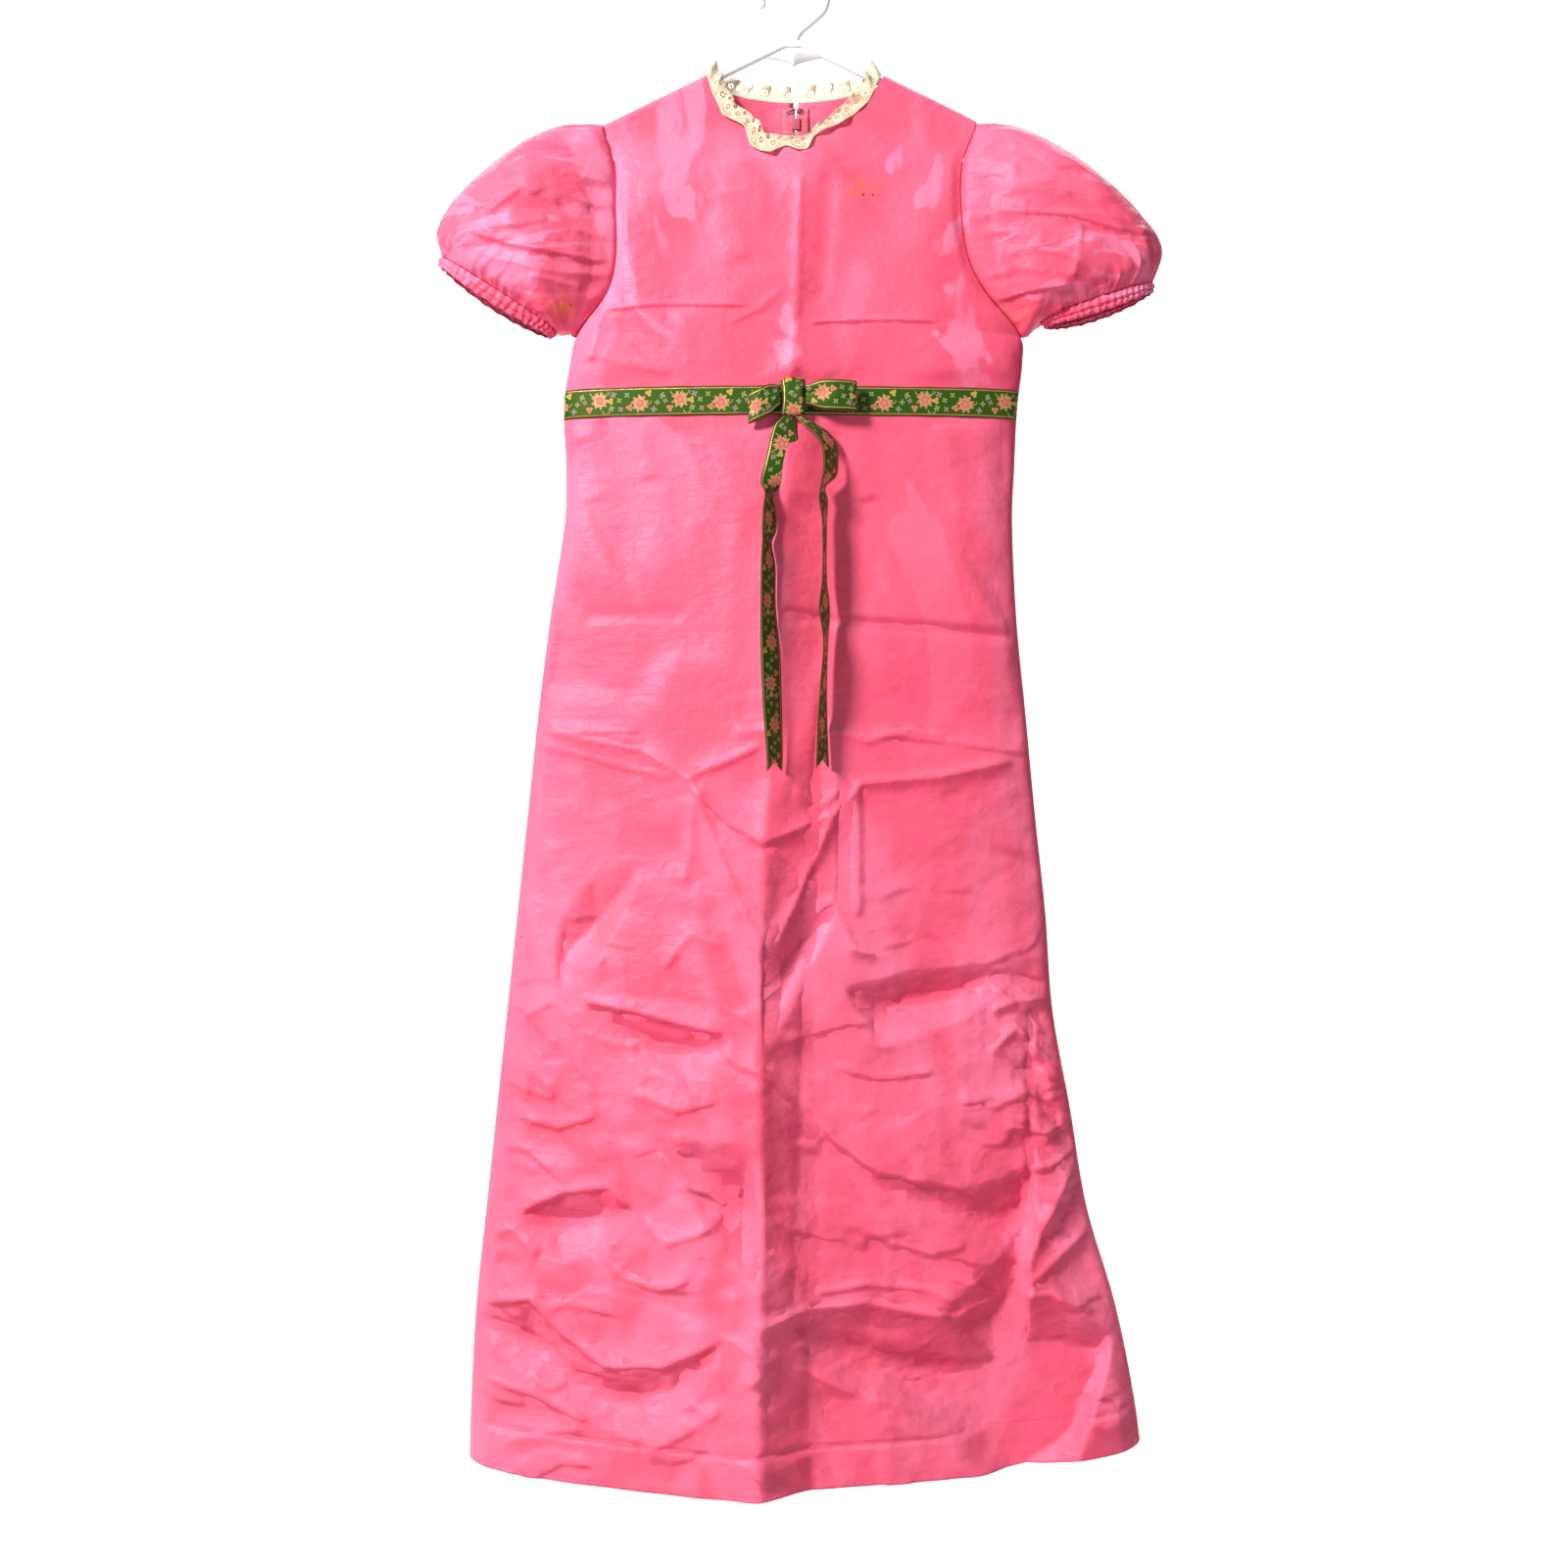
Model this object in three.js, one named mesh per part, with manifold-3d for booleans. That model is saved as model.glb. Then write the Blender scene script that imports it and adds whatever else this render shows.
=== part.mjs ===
// Empire waist dress on a plain hanger. Millimetres, +Z up, the front faces -Y.
// The origin is where a rod meets the inside of the hanger's hook, so the dress hangs below it.
// "right" and "left" are the wearer's: the wearer's right is -X.
import * as THREE from 'three';
import { mergeVertices } from 'three/addons/utils/BufferGeometryUtils.js';
import Module from 'manifold-3d';

const wasm = await Module();
wasm.setup();

// Driving dimensions
const CLOTH = 1.2;
const SEAM = 0.3;
const NECK_POINT = 85;
const NECK_POINT_Z = -105;
const SHOULDER_FALL = 0.488;
const FRONT_NECK_Z = -178;
const BACK_NECK_Z = -129;
const WAIST_Z = -427;
const RIBBON_WIDTH = 28;
const RIBBON = 1.0;
const ZIP_END_Z = -600;
const ZIP_SLOT = 4;
const CENTRE_BACK = 2;
const HEM_DEPTH = 43;
const HEM_EXTRA = 0.8;
const CUFF_HEIGHT = 16;
const CUFF_GATHERS = 30;
const HEAD_GATHERS = 12;
const LACE_WIDTH = 17;
const LACE_WAVES = 22;
const TUBE = 4.2;
const ROLL_DEPTH = TUBE + SEAM + CLOTH + 0.5;
const ROLL_DROP = ROLL_DEPTH * Math.hypot(1, SHOULDER_FALL);
const SECTION_POWER = 2.6;
const SHOULDER_TIP_Z = -153;
const UNDERARM_Z = -360;
const FULL_DROP = 120;
const FIRST_DROPS = 16;
const NECK_SHARE = 0.6;

// The sections of the body from the shoulder down: the two side edges, how far the front and the back stand
// from the plane of the side seams, and how far the pressed centre fold stands out beyond that.
const BODY = [
  { z: -105, right: -184, left: 181, front: 14, back: 12, fold: 0, foldX: 8 },
  { z: -153, right: -184, left: 177, front: 16, back: 14, fold: 1, foldX: 8 },
  { z: -193, right: -173, left: 163, front: 20, back: 16, fold: 2, foldX: 7 },
  { z: -241, right: -171, left: 161, front: 24, back: 18, fold: 3, foldX: 5 },
  { z: -288, right: -171, left: 168, front: 27, back: 20, fold: 4, foldX: 3 },
  { z: -320, right: -180, left: 185, front: 28, back: 21, fold: 5, foldX: 1 },
  { z: -360, right: -211, left: 220, front: 28, back: 22, fold: 6, foldX: 0 },
  { z: -384, right: -217, left: 222, front: 28, back: 22, fold: 7, foldX: -1 },
  { z: -427, right: -223, left: 217, front: 28, back: 22, fold: 9, foldX: -3 },
  { z: -488, right: -221, left: 214, front: 28, back: 23, fold: 13, foldX: -6 },
  { z: -536, right: -222, left: 212, front: 28, back: 24, fold: 16, foldX: -8 },
  { z: -631, right: -236, left: 216, front: 29, back: 26, fold: 22, foldX: -12 },
  { z: -726, right: -248, left: 225, front: 30, back: 28, fold: 28, foldX: -19 },
  { z: -822, right: -258, left: 234, front: 31, back: 29, fold: 34, foldX: -25 },
  { z: -917, right: -268, left: 244, front: 32, back: 30, fold: 40, foldX: -30 },
  { z: -1012, right: -278, left: 251, front: 33, back: 31, fold: 45, foldX: -31 },
  { z: -1107, right: -288, left: 268, front: 34, back: 32, fold: 50, foldX: -32 },
  { z: -1202, right: -298, left: 284, front: 35, back: 33, fold: 54, foldX: -32 },
  { z: -1298, right: -308, left: 312, front: 36, back: 34, fold: 58, foldX: -32 },
  { z: -1393, right: -313, left: 331, front: 36, back: 35, fold: 60, foldX: -32 },
  { z: -1470, right: -315, left: 340, front: 36, back: 36, fold: 60, foldX: -32 },
];

// How far the front and back stay apart at the armhole's edge, as a share of their depth
const ARMHOLE = [
  { z: -100, apart: 1 },
  { z: -200, apart: 0.95 },
  { z: -260, apart: 0.88 },
  { z: -310, apart: 0.66 },
  { z: -340, apart: 0.36 },
  { z: -352, apart: 0.16 },
  { z: -360, apart: 0 },
];

// The front neckline, from the right neck point to the left one
const FRONT_NECKLINE = [
  { x: -85, z: -105 },
  { x: -80, z: -120 },
  { x: -67, z: -139 },
  { x: -46, z: -157 },
  { x: -22, z: -173 },
  { x: 4, z: -179 },
  { x: 24, z: -167 },
  { x: 44, z: -151 },
  { x: 63, z: -136 },
  { x: 77, z: -121 },
  { x: 85, z: -105 },
];

// The bottom edge of the skirt, from the right side seam to the left one
const HEM_EDGE = [
  { at: -1, z: -1443 },
  { at: -0.5, z: -1452 },
  { at: -0.1, z: -1458 },
  { at: 0.3, z: -1452 },
  { at: 0.7, z: -1438 },
  { at: 1, z: -1427 },
];

// The skirt's largest folds, each a soft ridge between two points (a hollow, where it is below zero)
const SKIRT_FOLDS = [
  { x1: -20, z1: -1296, x2: 110, z2: -1292, width: 22, rise: 7 },
  { x1: 110, z1: -1292, x2: 262, z2: -1296, width: 22, rise: 8 },
  { x1: 20, z1: -1330, x2: 240, z2: -1375, width: 26, rise: -8 },
  { x1: -300, z1: -1290, x2: -180, z2: -1340, width: 22, rise: 5 },
  { x1: -180, z1: -1340, x2: -80, z2: -1310, width: 22, rise: 5 },
  { x1: -260, z1: -1200, x2: -80, z2: -1240, width: 24, rise: 4 },
  { x1: 275, z1: -1150, x2: 215, z2: -1280, width: 24, rise: 7 },
  { x1: 190, z1: -1010, x2: 250, z2: -1040, width: 22, rise: 5 },
  { x1: -97, z1: -785, x2: -26, z2: -955, width: 20, rise: 4 },
  { x1: 40, z1: -820, x2: -16, z2: -950, width: 20, rise: 4 },
  { x1: -200, z1: -998, x2: -67, z2: -1027, width: 22, rise: 3 },
];
const BODICE_FOLDS = [
  { x1: 20, z1: -352, x2: 140, z2: -350, width: 16, rise: 2 },
  { x1: -180, z1: -338, x2: -50, z2: -336, width: 16, rise: 2 },
];

// Number helpers
const clamp = (v, low, high) => Math.min(high, Math.max(low, v));
const lerp = (a, b, t) => a + (b - a) * t;
const smooth = (t) => {
  const c = clamp(t, 0, 1);
  return c * c * (3 - 2 * c);
};

// A smooth curve through a table's rows, read at v in its column "key"
function follow(table, column, key, v) {
  const step = Math.sign(table[table.length - 1][column] - table[0][column]);
  let i = 0;
  while (i < table.length - 2 && (v - table[i + 1][column]) * step > 0) i += 1;
  const a = table[i];
  const b = table[i + 1];
  const before = table[Math.max(0, i - 1)];
  const after = table[Math.min(table.length - 1, i + 2)];
  const span = b[column] - a[column];
  const t = clamp((v - a[column]) / span, 0, 1);
  const slopeA = ((b[key] - before[key]) / (b[column] - before[column])) * span;
  const slopeB = ((after[key] - a[key]) / (after[column] - a[column])) * span;
  const t2 = t * t;
  const t3 = t2 * t;
  return (2 * t3 - 3 * t2 + 1) * a[key] + (t3 - 2 * t2 + t) * slopeA
    + (-2 * t3 + 3 * t2) * b[key] + (t3 - t2) * slopeB;
}

// Solids from grids of points. A grid is a list of rows of THREE.Vector3, all as long as each other.
function normalsOf(grid, ring) {
  const rows = grid.length;
  const columns = grid[0].length;
  const normals = grid.map((row, j) => row.map((p, i) => {
    const before = ring ? row[(i + columns - 1) % columns] : row[Math.max(0, i - 1)];
    const after = ring ? row[(i + 1) % columns] : row[Math.min(columns - 1, i + 1)];
    const above = grid[Math.max(0, j - 1)][i];
    const below = grid[Math.min(rows - 1, j + 1)][i];
    return after.clone().sub(before).cross(below.clone().sub(above)).normalize();
  }));
  // They point away from the ring's own middle, or away from the garment's upright axis
  let outward = 0;
  grid.forEach((row, j) => {
    const middle = row.reduce((sum, p) => sum.add(p), new THREE.Vector3()).divideScalar(columns);
    row.forEach((p, i) => {
      const axis = ring ? middle : new THREE.Vector3(0, 0, p.z);
      outward += normals[j][i].dot(p.clone().sub(axis));
    });
  });
  if (outward < 0) normals.flat().forEach((n) => n.negate());
  return normals;
}

function raised(grid, distance, ring = false) {
  const normals = normalsOf(grid, ring);
  return grid.map((row, j) => row.map((p, i) => p.clone().addScaledVector(normals[j][i], distance)));
}

function closedGeometry(points, triangles) {
  const geometry = new THREE.BufferGeometry();
  const coordinates = points.flatMap((p) => [p.x, p.y, p.z]);
  geometry.setAttribute('position', new THREE.Float32BufferAttribute(coordinates, 3));
  let volume = 0;
  for (const [a, b, c] of triangles) volume += points[a].dot(points[b].clone().cross(points[c]));
  geometry.setIndex(triangles.flatMap(([a, b, c]) => (volume > 0 ? [a, b, c] : [a, c, b])));
  geometry.computeVertexNormals();
  return geometry;
}

// A wall between two grids of the same size, closed along its rims
function between(outer, inner, ring = false) {
  const rows = outer.length;
  const columns = outer[0].length;
  const points = [...outer.flat(), ...inner.flat()];
  const o = (j, i) => j * columns + (i % columns);
  const n = (j, i) => rows * columns + o(j, i);
  const triangles = [];
  const quad = (a, b, c, d) => triangles.push([a, b, c], [a, c, d]);
  const spans = ring ? columns : columns - 1;
  for (let j = 0; j < rows - 1; j += 1) {
    for (let i = 0; i < spans; i += 1) {
      quad(o(j, i), o(j + 1, i), o(j + 1, i + 1), o(j, i + 1));
      quad(n(j, i), n(j, i + 1), n(j + 1, i + 1), n(j + 1, i));
    }
  }
  for (let i = 0; i < spans; i += 1) {
    quad(o(0, i), o(0, i + 1), n(0, i + 1), n(0, i));
    quad(o(rows - 1, i), n(rows - 1, i), n(rows - 1, i + 1), o(rows - 1, i + 1));
  }
  if (!ring) {
    for (let j = 0; j < rows - 1; j += 1) {
      quad(o(j, 0), n(j, 0), n(j + 1, 0), o(j + 1, 0));
      quad(o(j, columns - 1), o(j + 1, columns - 1), n(j + 1, columns - 1), n(j, columns - 1));
    }
  }
  return closedGeometry(points, triangles);
}

// A wall of the given thickness under a grid. "trim" moves inner points back where they would cross a seam.
function wall(grid, thickness, { ring = false, trim = (p) => p } = {}) {
  const normals = normalsOf(grid, ring);
  const depth = typeof thickness === 'function' ? thickness : () => thickness;
  const inner = grid.map((row, j) => row.map((p, i) => (
    trim(p.clone().addScaledVector(normals[j][i], -depth(p)), p, j)
  )));
  return between(grid, inner, ring);
}

const range = (count) => Array.from({ length: count + 1 }, (_, i) => i / count);

// The body's outer surface. "face" is -1 on the front and 1 on the back.
const shoulderLine = (x) => NECK_POINT_Z + (NECK_POINT - Math.abs(x)) * SHOULDER_FALL;
const sideShape = (s) => (1 - Math.abs(s) ** SECTION_POWER) ** (1 / SECTION_POWER);

function section(z) {
  const right = follow(BODY, 'z', 'right', z);
  const left = follow(BODY, 'z', 'left', z);
  return { right, left, middle: (left + right) / 2, half: (left - right) / 2 };
}

// The pressed centre fold: the front's right half slopes evenly up to it, the left half falls off steeply
function pressedFold(x, z) {
  const { right, left } = section(z);
  const foldX = follow(BODY, 'z', 'foldX', z);
  const rise = follow(BODY, 'z', 'fold', z);
  const steepWidth = 48;
  const steepShare = 0.45;
  if (x < foldX) return rise * (x - right) / (foldX - right);
  const near = Math.max(0, 1 - (x - foldX) / steepWidth);
  return rise * (steepShare * near + (1 - steepShare) * (left - x) / (left - foldX));
}

function foldsAt(folds, x, z) {
  let sum = 0;
  for (const f of folds) {
    const dx = f.x2 - f.x1;
    const dz = f.z2 - f.z1;
    const t = clamp(((x - f.x1) * dx + (z - f.z1) * dz) / (dx * dx + dz * dz), 0, 1);
    const away = Math.hypot(x - f.x1 - t * dx, z - f.z1 - t * dz);
    sum += f.rise * Math.exp(-((away / f.width) ** 2));
  }
  return sum;
}

function bodyPoint(face, x, z) {
  const { middle, half } = section(z);
  const s = clamp((x - middle) / half, -1, 1);
  const drop = Math.max(0, shoulderLine(x) - z);
  const roll = Math.sqrt(1 - (1 - Math.min(drop / ROLL_DROP, 1)) ** 2);
  const full = follow(BODY, 'z', face < 0 ? 'front' : 'back', z);
  const apart = z > UNDERARM_Z ? follow(ARMHOLE, 'z', 'apart', z) : 0;
  let depth = roll * lerp(ROLL_DEPTH, full, smooth(drop / FULL_DROP)) * lerp(sideShape(s), 1, apart);
  if (face < 0) {
    const fromSeam = smooth((1 - Math.abs(s)) / 0.08) * smooth(drop / FULL_DROP);
    depth += pressedFold(x, z) * smooth(drop / FULL_DROP);
    depth += foldsAt(z > WAIST_Z ? BODICE_FOLDS : SKIRT_FOLDS, x, z) * fromSeam;
  }
  return new THREE.Vector3(x, face * (depth + SEAM / 2), z);
}

// Columns run from the right side seam (-1) to the left one (1), closer together towards the seams,
// and column 0 lies on the front's pressed fold or on the back's centre seam.
const centreX = (face, z) => (face < 0 ? follow(BODY, 'z', 'foldX', z) : CENTRE_BACK);

function columnX(face, q, z) {
  const { middle, half } = section(z);
  const across = Math.sin((q * Math.PI) / 2);
  return middle + half * across + (centreX(face, z) - middle) * (1 - across * across);
}

const onlyOutside = (face) => (p) => p.setY(face * Math.max(face * p.y, SEAM / 2));
const hemEdge = (q) => follow(HEM_EDGE, 'at', 'z', q);

// The upper edge of a bodice panel: shoulder seam, neckline, shoulder seam
function neckZ(face, x) {
  const share = clamp(x / NECK_POINT, -1, 1);
  if (face > 0) return NECK_POINT_Z + (BACK_NECK_Z - NECK_POINT_Z) * Math.sqrt(1 - share * share);
  return follow(FRONT_NECKLINE, 'x', 'z', x);
}

function topEdge(face, q) {
  const { right, left } = section(SHOULDER_TIP_Z);
  if (Math.abs(q) >= NECK_SHARE - 1e-6) {
    const t = (Math.abs(q) - NECK_SHARE) / (1 - NECK_SHARE);
    const x = q < 0 ? lerp(-NECK_POINT, right, t) : lerp(NECK_POINT, left, t);
    return { x, z: shoulderLine(x) };
  }
  const angle = (q / NECK_SHARE) * (Math.PI / 2);
  const x = NECK_POINT * Math.sin(angle) + centreX(face, FRONT_NECK_Z) * Math.cos(angle) ** 2;
  return { x, z: neckZ(face, x) };
}

function bodiceRow(face, q, t) {
  const top = topEdge(face, q);
  const tip = section(SHOULDER_TIP_Z);
  const bottom = WAIST_Z + SEAM / 2;
  const z = t < 0 ? top.z + t : lerp(top.z - FIRST_DROPS, bottom, t);
  const share = smooth(Math.max(0, t));
  const place = (at) => {
    const shareTop = (topEdge(face, at).x - tip.right) / (tip.left - tip.right);
    const waist = section(bottom);
    const shareWaist = (columnX(face, at, bottom) - waist.right) / (waist.left - waist.right);
    const here = section(z);
    return lerp(here.right, here.left, lerp(shareTop, shareWaist, share));
  };
  const pull = (centreX(face, z) - place(0)) * (1 - Math.abs(q)) ** 2 * share;
  return bodyPoint(face, place(q) + pull, z);
}

const SHOULDER_ROWS = [-0.001, -1, -3.2, -ROLL_DROP];
const UNDERARM_SHARE = 0.742;
const BODICE_ROWS = [...SHOULDER_ROWS, 0, 0.12, 0.25, 0.38, 0.5, 0.6, 0.68, UNDERARM_SHARE, 0.87, 1];

// A back half keeps clear of the centre line by half of the zip's slot, and below the zip by half a seam
function parted(p, half, gapAt) {
  const edge = CENTRE_BACK + half * gapAt(p.z);
  return half < 0 ? p.setX(Math.min(p.x, edge)) : p.setX(Math.max(p.x, edge));
}

const zipGap = (z) => (z > ZIP_END_Z ? ZIP_SLOT / 2 : SEAM / 2);
const spread = (from, to, count) => range(count).map((t) => lerp(from, to, t));

function bodice(face, columns, half = 0) {
  return BODICE_ROWS.map((t) => columns.map((q) => {
    const p = bodiceRow(face, q, t);
    return half ? parted(p, half, zipGap) : p;
  }));
}

function skirt(face, columns, half = 0) {
  const top = WAIST_Z - SEAM / 2;
  const rows = [...range(22).slice(0, -1).map((t) => t * 0.958), 0.9581, 0.9601, 0.98, 1];
  const zipRow = rows.findIndex((t) => lerp(top, hemEdge(0), t) < ZIP_END_Z);
  return rows.map((t, j) => columns.map((q) => {
    let z = lerp(top, hemEdge(q), t);
    if (half && j === zipRow - 1) z = ZIP_END_Z + 1;
    if (half && j === zipRow) z = ZIP_END_Z - 1;
    const p = bodyPoint(face, columnX(face, q, z), z);
    return half ? parted(p, half, zipGap) : p;
  }));
}

// The hem is turned up, so the cloth is thicker there
const hemThickness = (p) => {
  const { middle, half } = section(p.z);
  const q = Math.asin(clamp((p.x - middle) / half, -1, 1)) / (Math.PI / 2);
  return p.z < hemEdge(q) + HEM_DEPTH ? CLOTH + HEM_EXTRA : CLOTH;
};

const FRONT = -1;
const BACK = 1;
const frontColumns = spread(-1, 1, 20);
const backColumns = (half) => (half < 0 ? spread(-1, 0, 10) : spread(0, 1, 10));
// A bodice has more columns beside the neck points, where its edge bends over the hanger's arms
const BESIDE_NECK = [NECK_SHARE - 0.018, NECK_SHARE - 0.04];
function withNeck(columns) {
  const extra = BESIDE_NECK.flatMap((q) => [-q, q]).filter((q) => q > columns[0] && q < columns.at(-1));
  return [...columns, ...extra].sort((a, b) => a - b);
}
const sideOf = (half) => (half < 0 ? 'right' : 'left');

const dress = new THREE.Group();
const piece = (name, geometry, material) => {
  const mesh = new THREE.Mesh(geometry, material);
  mesh.name = name;
  dress.add(mesh);
  return mesh;
};

const taffeta = new THREE.MeshStandardMaterial({ color: 0xf0708c, roughness: 0.45, metalness: 0 });
const woven = new THREE.MeshStandardMaterial({ color: 0x3f6b22, roughness: 0.6, metalness: 0.1 });
const cottonLace = new THREE.MeshStandardMaterial({ color: 0xf3e6c8, roughness: 0.85, metalness: 0 });
const tape = new THREE.MeshStandardMaterial({ color: 0xe87a92, roughness: 0.8, metalness: 0 });
const nickel = new THREE.MeshStandardMaterial({ color: 0x8b7f72, roughness: 0.4, metalness: 0.9 });
const darkMetal = new THREE.MeshStandardMaterial({ color: 0x2b2a2c, roughness: 0.5, metalness: 0.8 });
const plastic = new THREE.MeshStandardMaterial({ color: 0xf4f4f6, roughness: 0.3, metalness: 0 });

const frontBodice = bodice(FRONT, withNeck(frontColumns));
piece('bodice_front', wall(frontBodice, CLOTH, { trim: onlyOutside(FRONT) }), taffeta);
piece('skirt_front', wall(skirt(FRONT, frontColumns), hemThickness, { trim: onlyOutside(FRONT) }), taffeta);
for (const half of [-1, 1]) {
  const side = sideOf(half);
  const columns = backColumns(half);
  const keep = (p) => parted(onlyOutside(BACK)(p), half, zipGap);
  piece(`bodice_back_${side}`, wall(bodice(BACK, withNeck(columns), half), CLOTH, { trim: keep }), taffeta);
  piece(`skirt_back_${side}`, wall(skirt(BACK, columns, half), hemThickness, { trim: keep }), taffeta);
}

// Sleeves. Rings fan out from the armhole about the underarm: each has its highest and lowest point,
// and how far it stands out to the front and to the back.
const SLEEVE_RINGS = {
  right: [
    { topX: -200, topZ: -153, lowX: -214, lowZ: -359.5, depth: 27 },
    { topX: -222, topZ: -156, lowX: -217, lowZ: -358.5, depth: 37 },
    { topX: -252, topZ: -167, lowX: -220, lowZ: -357.5, depth: 44 },
    { topX: -290, topZ: -191, lowX: -223, lowZ: -356.5, depth: 46 },
    { topX: -324, topZ: -222, lowX: -226, lowZ: -355.5, depth: 42 },
    { topX: -345, topZ: -256, lowX: -228, lowZ: -354.5, depth: 34 },
    { topX: -341, topZ: -282, lowX: -230, lowZ: -353.5, depth: 23 },
  ],
  left: [
    { topX: 196, topZ: -152, lowX: 223, lowZ: -359, depth: 27 },
    { topX: 219, topZ: -157, lowX: 226, lowZ: -357.5, depth: 37 },
    { topX: 250, topZ: -171, lowX: 229, lowZ: -355.5, depth: 44 },
    { topX: 290, topZ: -197, lowX: 232, lowZ: -353, depth: 46 },
    { topX: 328, topZ: -233, lowX: 235, lowZ: -350, depth: 43 },
    { topX: 356, topZ: -272, lowX: 238, lowZ: -347, depth: 36 },
    { topX: 348, topZ: -307, lowX: 241, lowZ: -342, depth: 25 },
  ],
};
const CUFF_DIRECTION = { right: { x: -0.545, z: -0.838 }, left: { x: 0.2, z: -0.98 } };
const SLEEVE_POINTS = 48;
const CUFF_POINTS = 2 * CUFF_GATHERS;
const GATHER_HEIGHTS = [0, 1.6, 1.8, 1];
const RING_POWER = 2.2;

const edgeX = (half, z) => (half < 0 ? section(z).right : section(z).left);

// Once round the ring: the share of the way down it, and which face it is on
function roundRing(count) {
  return Array.from({ length: count }, (_, k) => {
    const angle = (2 * Math.PI * k) / count;
    return { angle, down: (1 - Math.cos(angle)) / 2, face: Math.sin(angle) > 0 ? FRONT : BACK };
  });
}

// The armhole's edge, read from the panel's own corner points
function panelEdge(half, face) {
  return BODICE_ROWS.filter((t) => t <= UNDERARM_SHARE).map((t) => bodiceRow(face, half, t));
}

const PANEL_EDGES = new Map(
  [-1, 1].flatMap((half) => [FRONT, BACK].map((face) => [half * 2 + face, panelEdge(half, face)])),
);

// Square to the armhole's edge, away from the body
function awayFromArmhole(half, z) {
  const step = 8;
  const high = Math.min(z + step, SHOULDER_TIP_Z);
  const low = Math.max(z - step, UNDERARM_Z);
  const along = edgeX(half, low) - edgeX(half, high);
  return new THREE.Vector3(half * (high - low), 0, half * along).normalize();
}

function armholePoint(half, { angle, down, face }) {
  const edge = PANEL_EDGES.get(half * 2 + face);
  const z = lerp(edge[0].z, edge.at(-1).z, down);
  let i = 0;
  while (i < edge.length - 2 && edge[i + 1].z > z) i += 1;
  const p = edge[i].clone().lerp(edge[i + 1], (z - edge[i].z) / (edge[i + 1].z - edge[i].z));
  if (Math.abs(Math.sin(angle)) < 1e-6) p.y = 0;
  return p.addScaledVector(awayFromArmhole(half, z), 2 * SEAM);
}

function sleevePoint(half, ring, j, at) {
  const p = new THREE.Vector3(lerp(ring.topX, ring.lowX, at.down), 0, lerp(ring.topZ, ring.lowZ, at.down));
  const straight = lerp(edgeX(half, SHOULDER_TIP_Z), edgeX(half, UNDERARM_Z), at.down);
  if (j === 1) p.x += (armholePoint(half, at).x - straight) / 2;
  const shape = (1 - Math.abs(Math.cos(at.angle)) ** RING_POWER) ** (1 / RING_POWER);
  const gather = (GATHER_HEIGHTS[j] ?? 0) * Math.cos(HEAD_GATHERS * at.angle) * Math.sin(at.angle) ** 2;
  p.y = at.face * (ring.depth * shape + gather);
  return p;
}

function sleeve(half) {
  const around = roundRing(SLEEVE_POINTS);
  const rings = SLEEVE_RINGS[sideOf(half)];
  return [
    around.map((at) => armholePoint(half, at)),
    ...rings.map((ring, i) => around.map((at) => sleevePoint(half, ring, i + 1, at))),
  ];
}

// The cuff is an elastic casing, so its wall is gathered all round into small pleats
function cuff(half) {
  const side = sideOf(half);
  const along = CUFF_DIRECTION[side];
  const last = SLEEVE_RINGS[side].at(-1);
  const middle = { x: (last.topX + last.lowX) / 2, z: (last.topZ + last.lowZ) / 2 };
  const pleat = 1.1;
  return [0, 0.5, 1].map((t) => roundRing(CUFF_POINTS).map((at, k) => {
    const p = sleevePoint(half, last, SLEEVE_RINGS[side].length, at);
    const out = new THREE.Vector3(p.x - middle.x, p.y * 3, p.z - middle.z).normalize();
    const fullness = 1.2 * Math.sin(Math.PI * t) - 1.5 * t;
    p.addScaledVector(out, fullness + (k % 2 ? pleat : -pleat) * (0.4 + 0.6 * t));
    const reach = 1.5 * SEAM + t * CUFF_HEIGHT;
    return p.add(new THREE.Vector3(along.x * reach, 0, along.z * reach));
  }));
}

for (const half of [-1, 1]) {
  const clearOfPanel = (p, outer, j) => {
    const away = awayFromArmhole(half, outer.z);
    const inside = j === 0 ? Math.min(0, p.clone().sub(outer).dot(away)) : 0;
    return p.addScaledVector(away, -inside);
  };
  piece(`sleeve_${sideOf(half)}`, wall(sleeve(half), CLOTH, { ring: true, trim: clearOfPanel }), taffeta);
  piece(`cuff_${sideOf(half)}`, wall(cuff(half), CLOTH, { ring: true }), taffeta);
}

// Neck lace: a gathered strip along the neckline's own points. On the front it falls partly over the panel.
function neckEdge() {
  const inNeck = (q) => Math.abs(q) <= NECK_SHARE + 1e-6;
  const top = (face, columns, half) => bodice(face, columns.filter(inNeck), half)[0];
  return [
    ...top(BACK, withNeck(backColumns(-1)), -1).reverse().map((p) => ({ p, face: BACK })),
    ...top(FRONT, withNeck(frontColumns), 0).slice(1, -1).map((p) => ({ p, face: FRONT })),
    ...top(BACK, withNeck(backColumns(1)), 1).reverse().map((p) => ({ p, face: BACK })),
  ];
}

function evenly(points, count) {
  const reach = [0];
  for (let i = 1; i < points.length; i += 1) {
    reach.push(reach[i - 1] + points[i].p.distanceTo(points[i - 1].p));
  }
  return range(count).map((share) => {
    const want = share * reach.at(-1);
    let i = 0;
    while (i < points.length - 2 && reach[i + 1] < want) i += 1;
    const t = (want - reach[i]) / (reach[i + 1] - reach[i]);
    return { p: points[i].p.clone().lerp(points[i + 1].p, t), face: points[i + (t > 0.5 ? 1 : 0)].face };
  });
}

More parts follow.
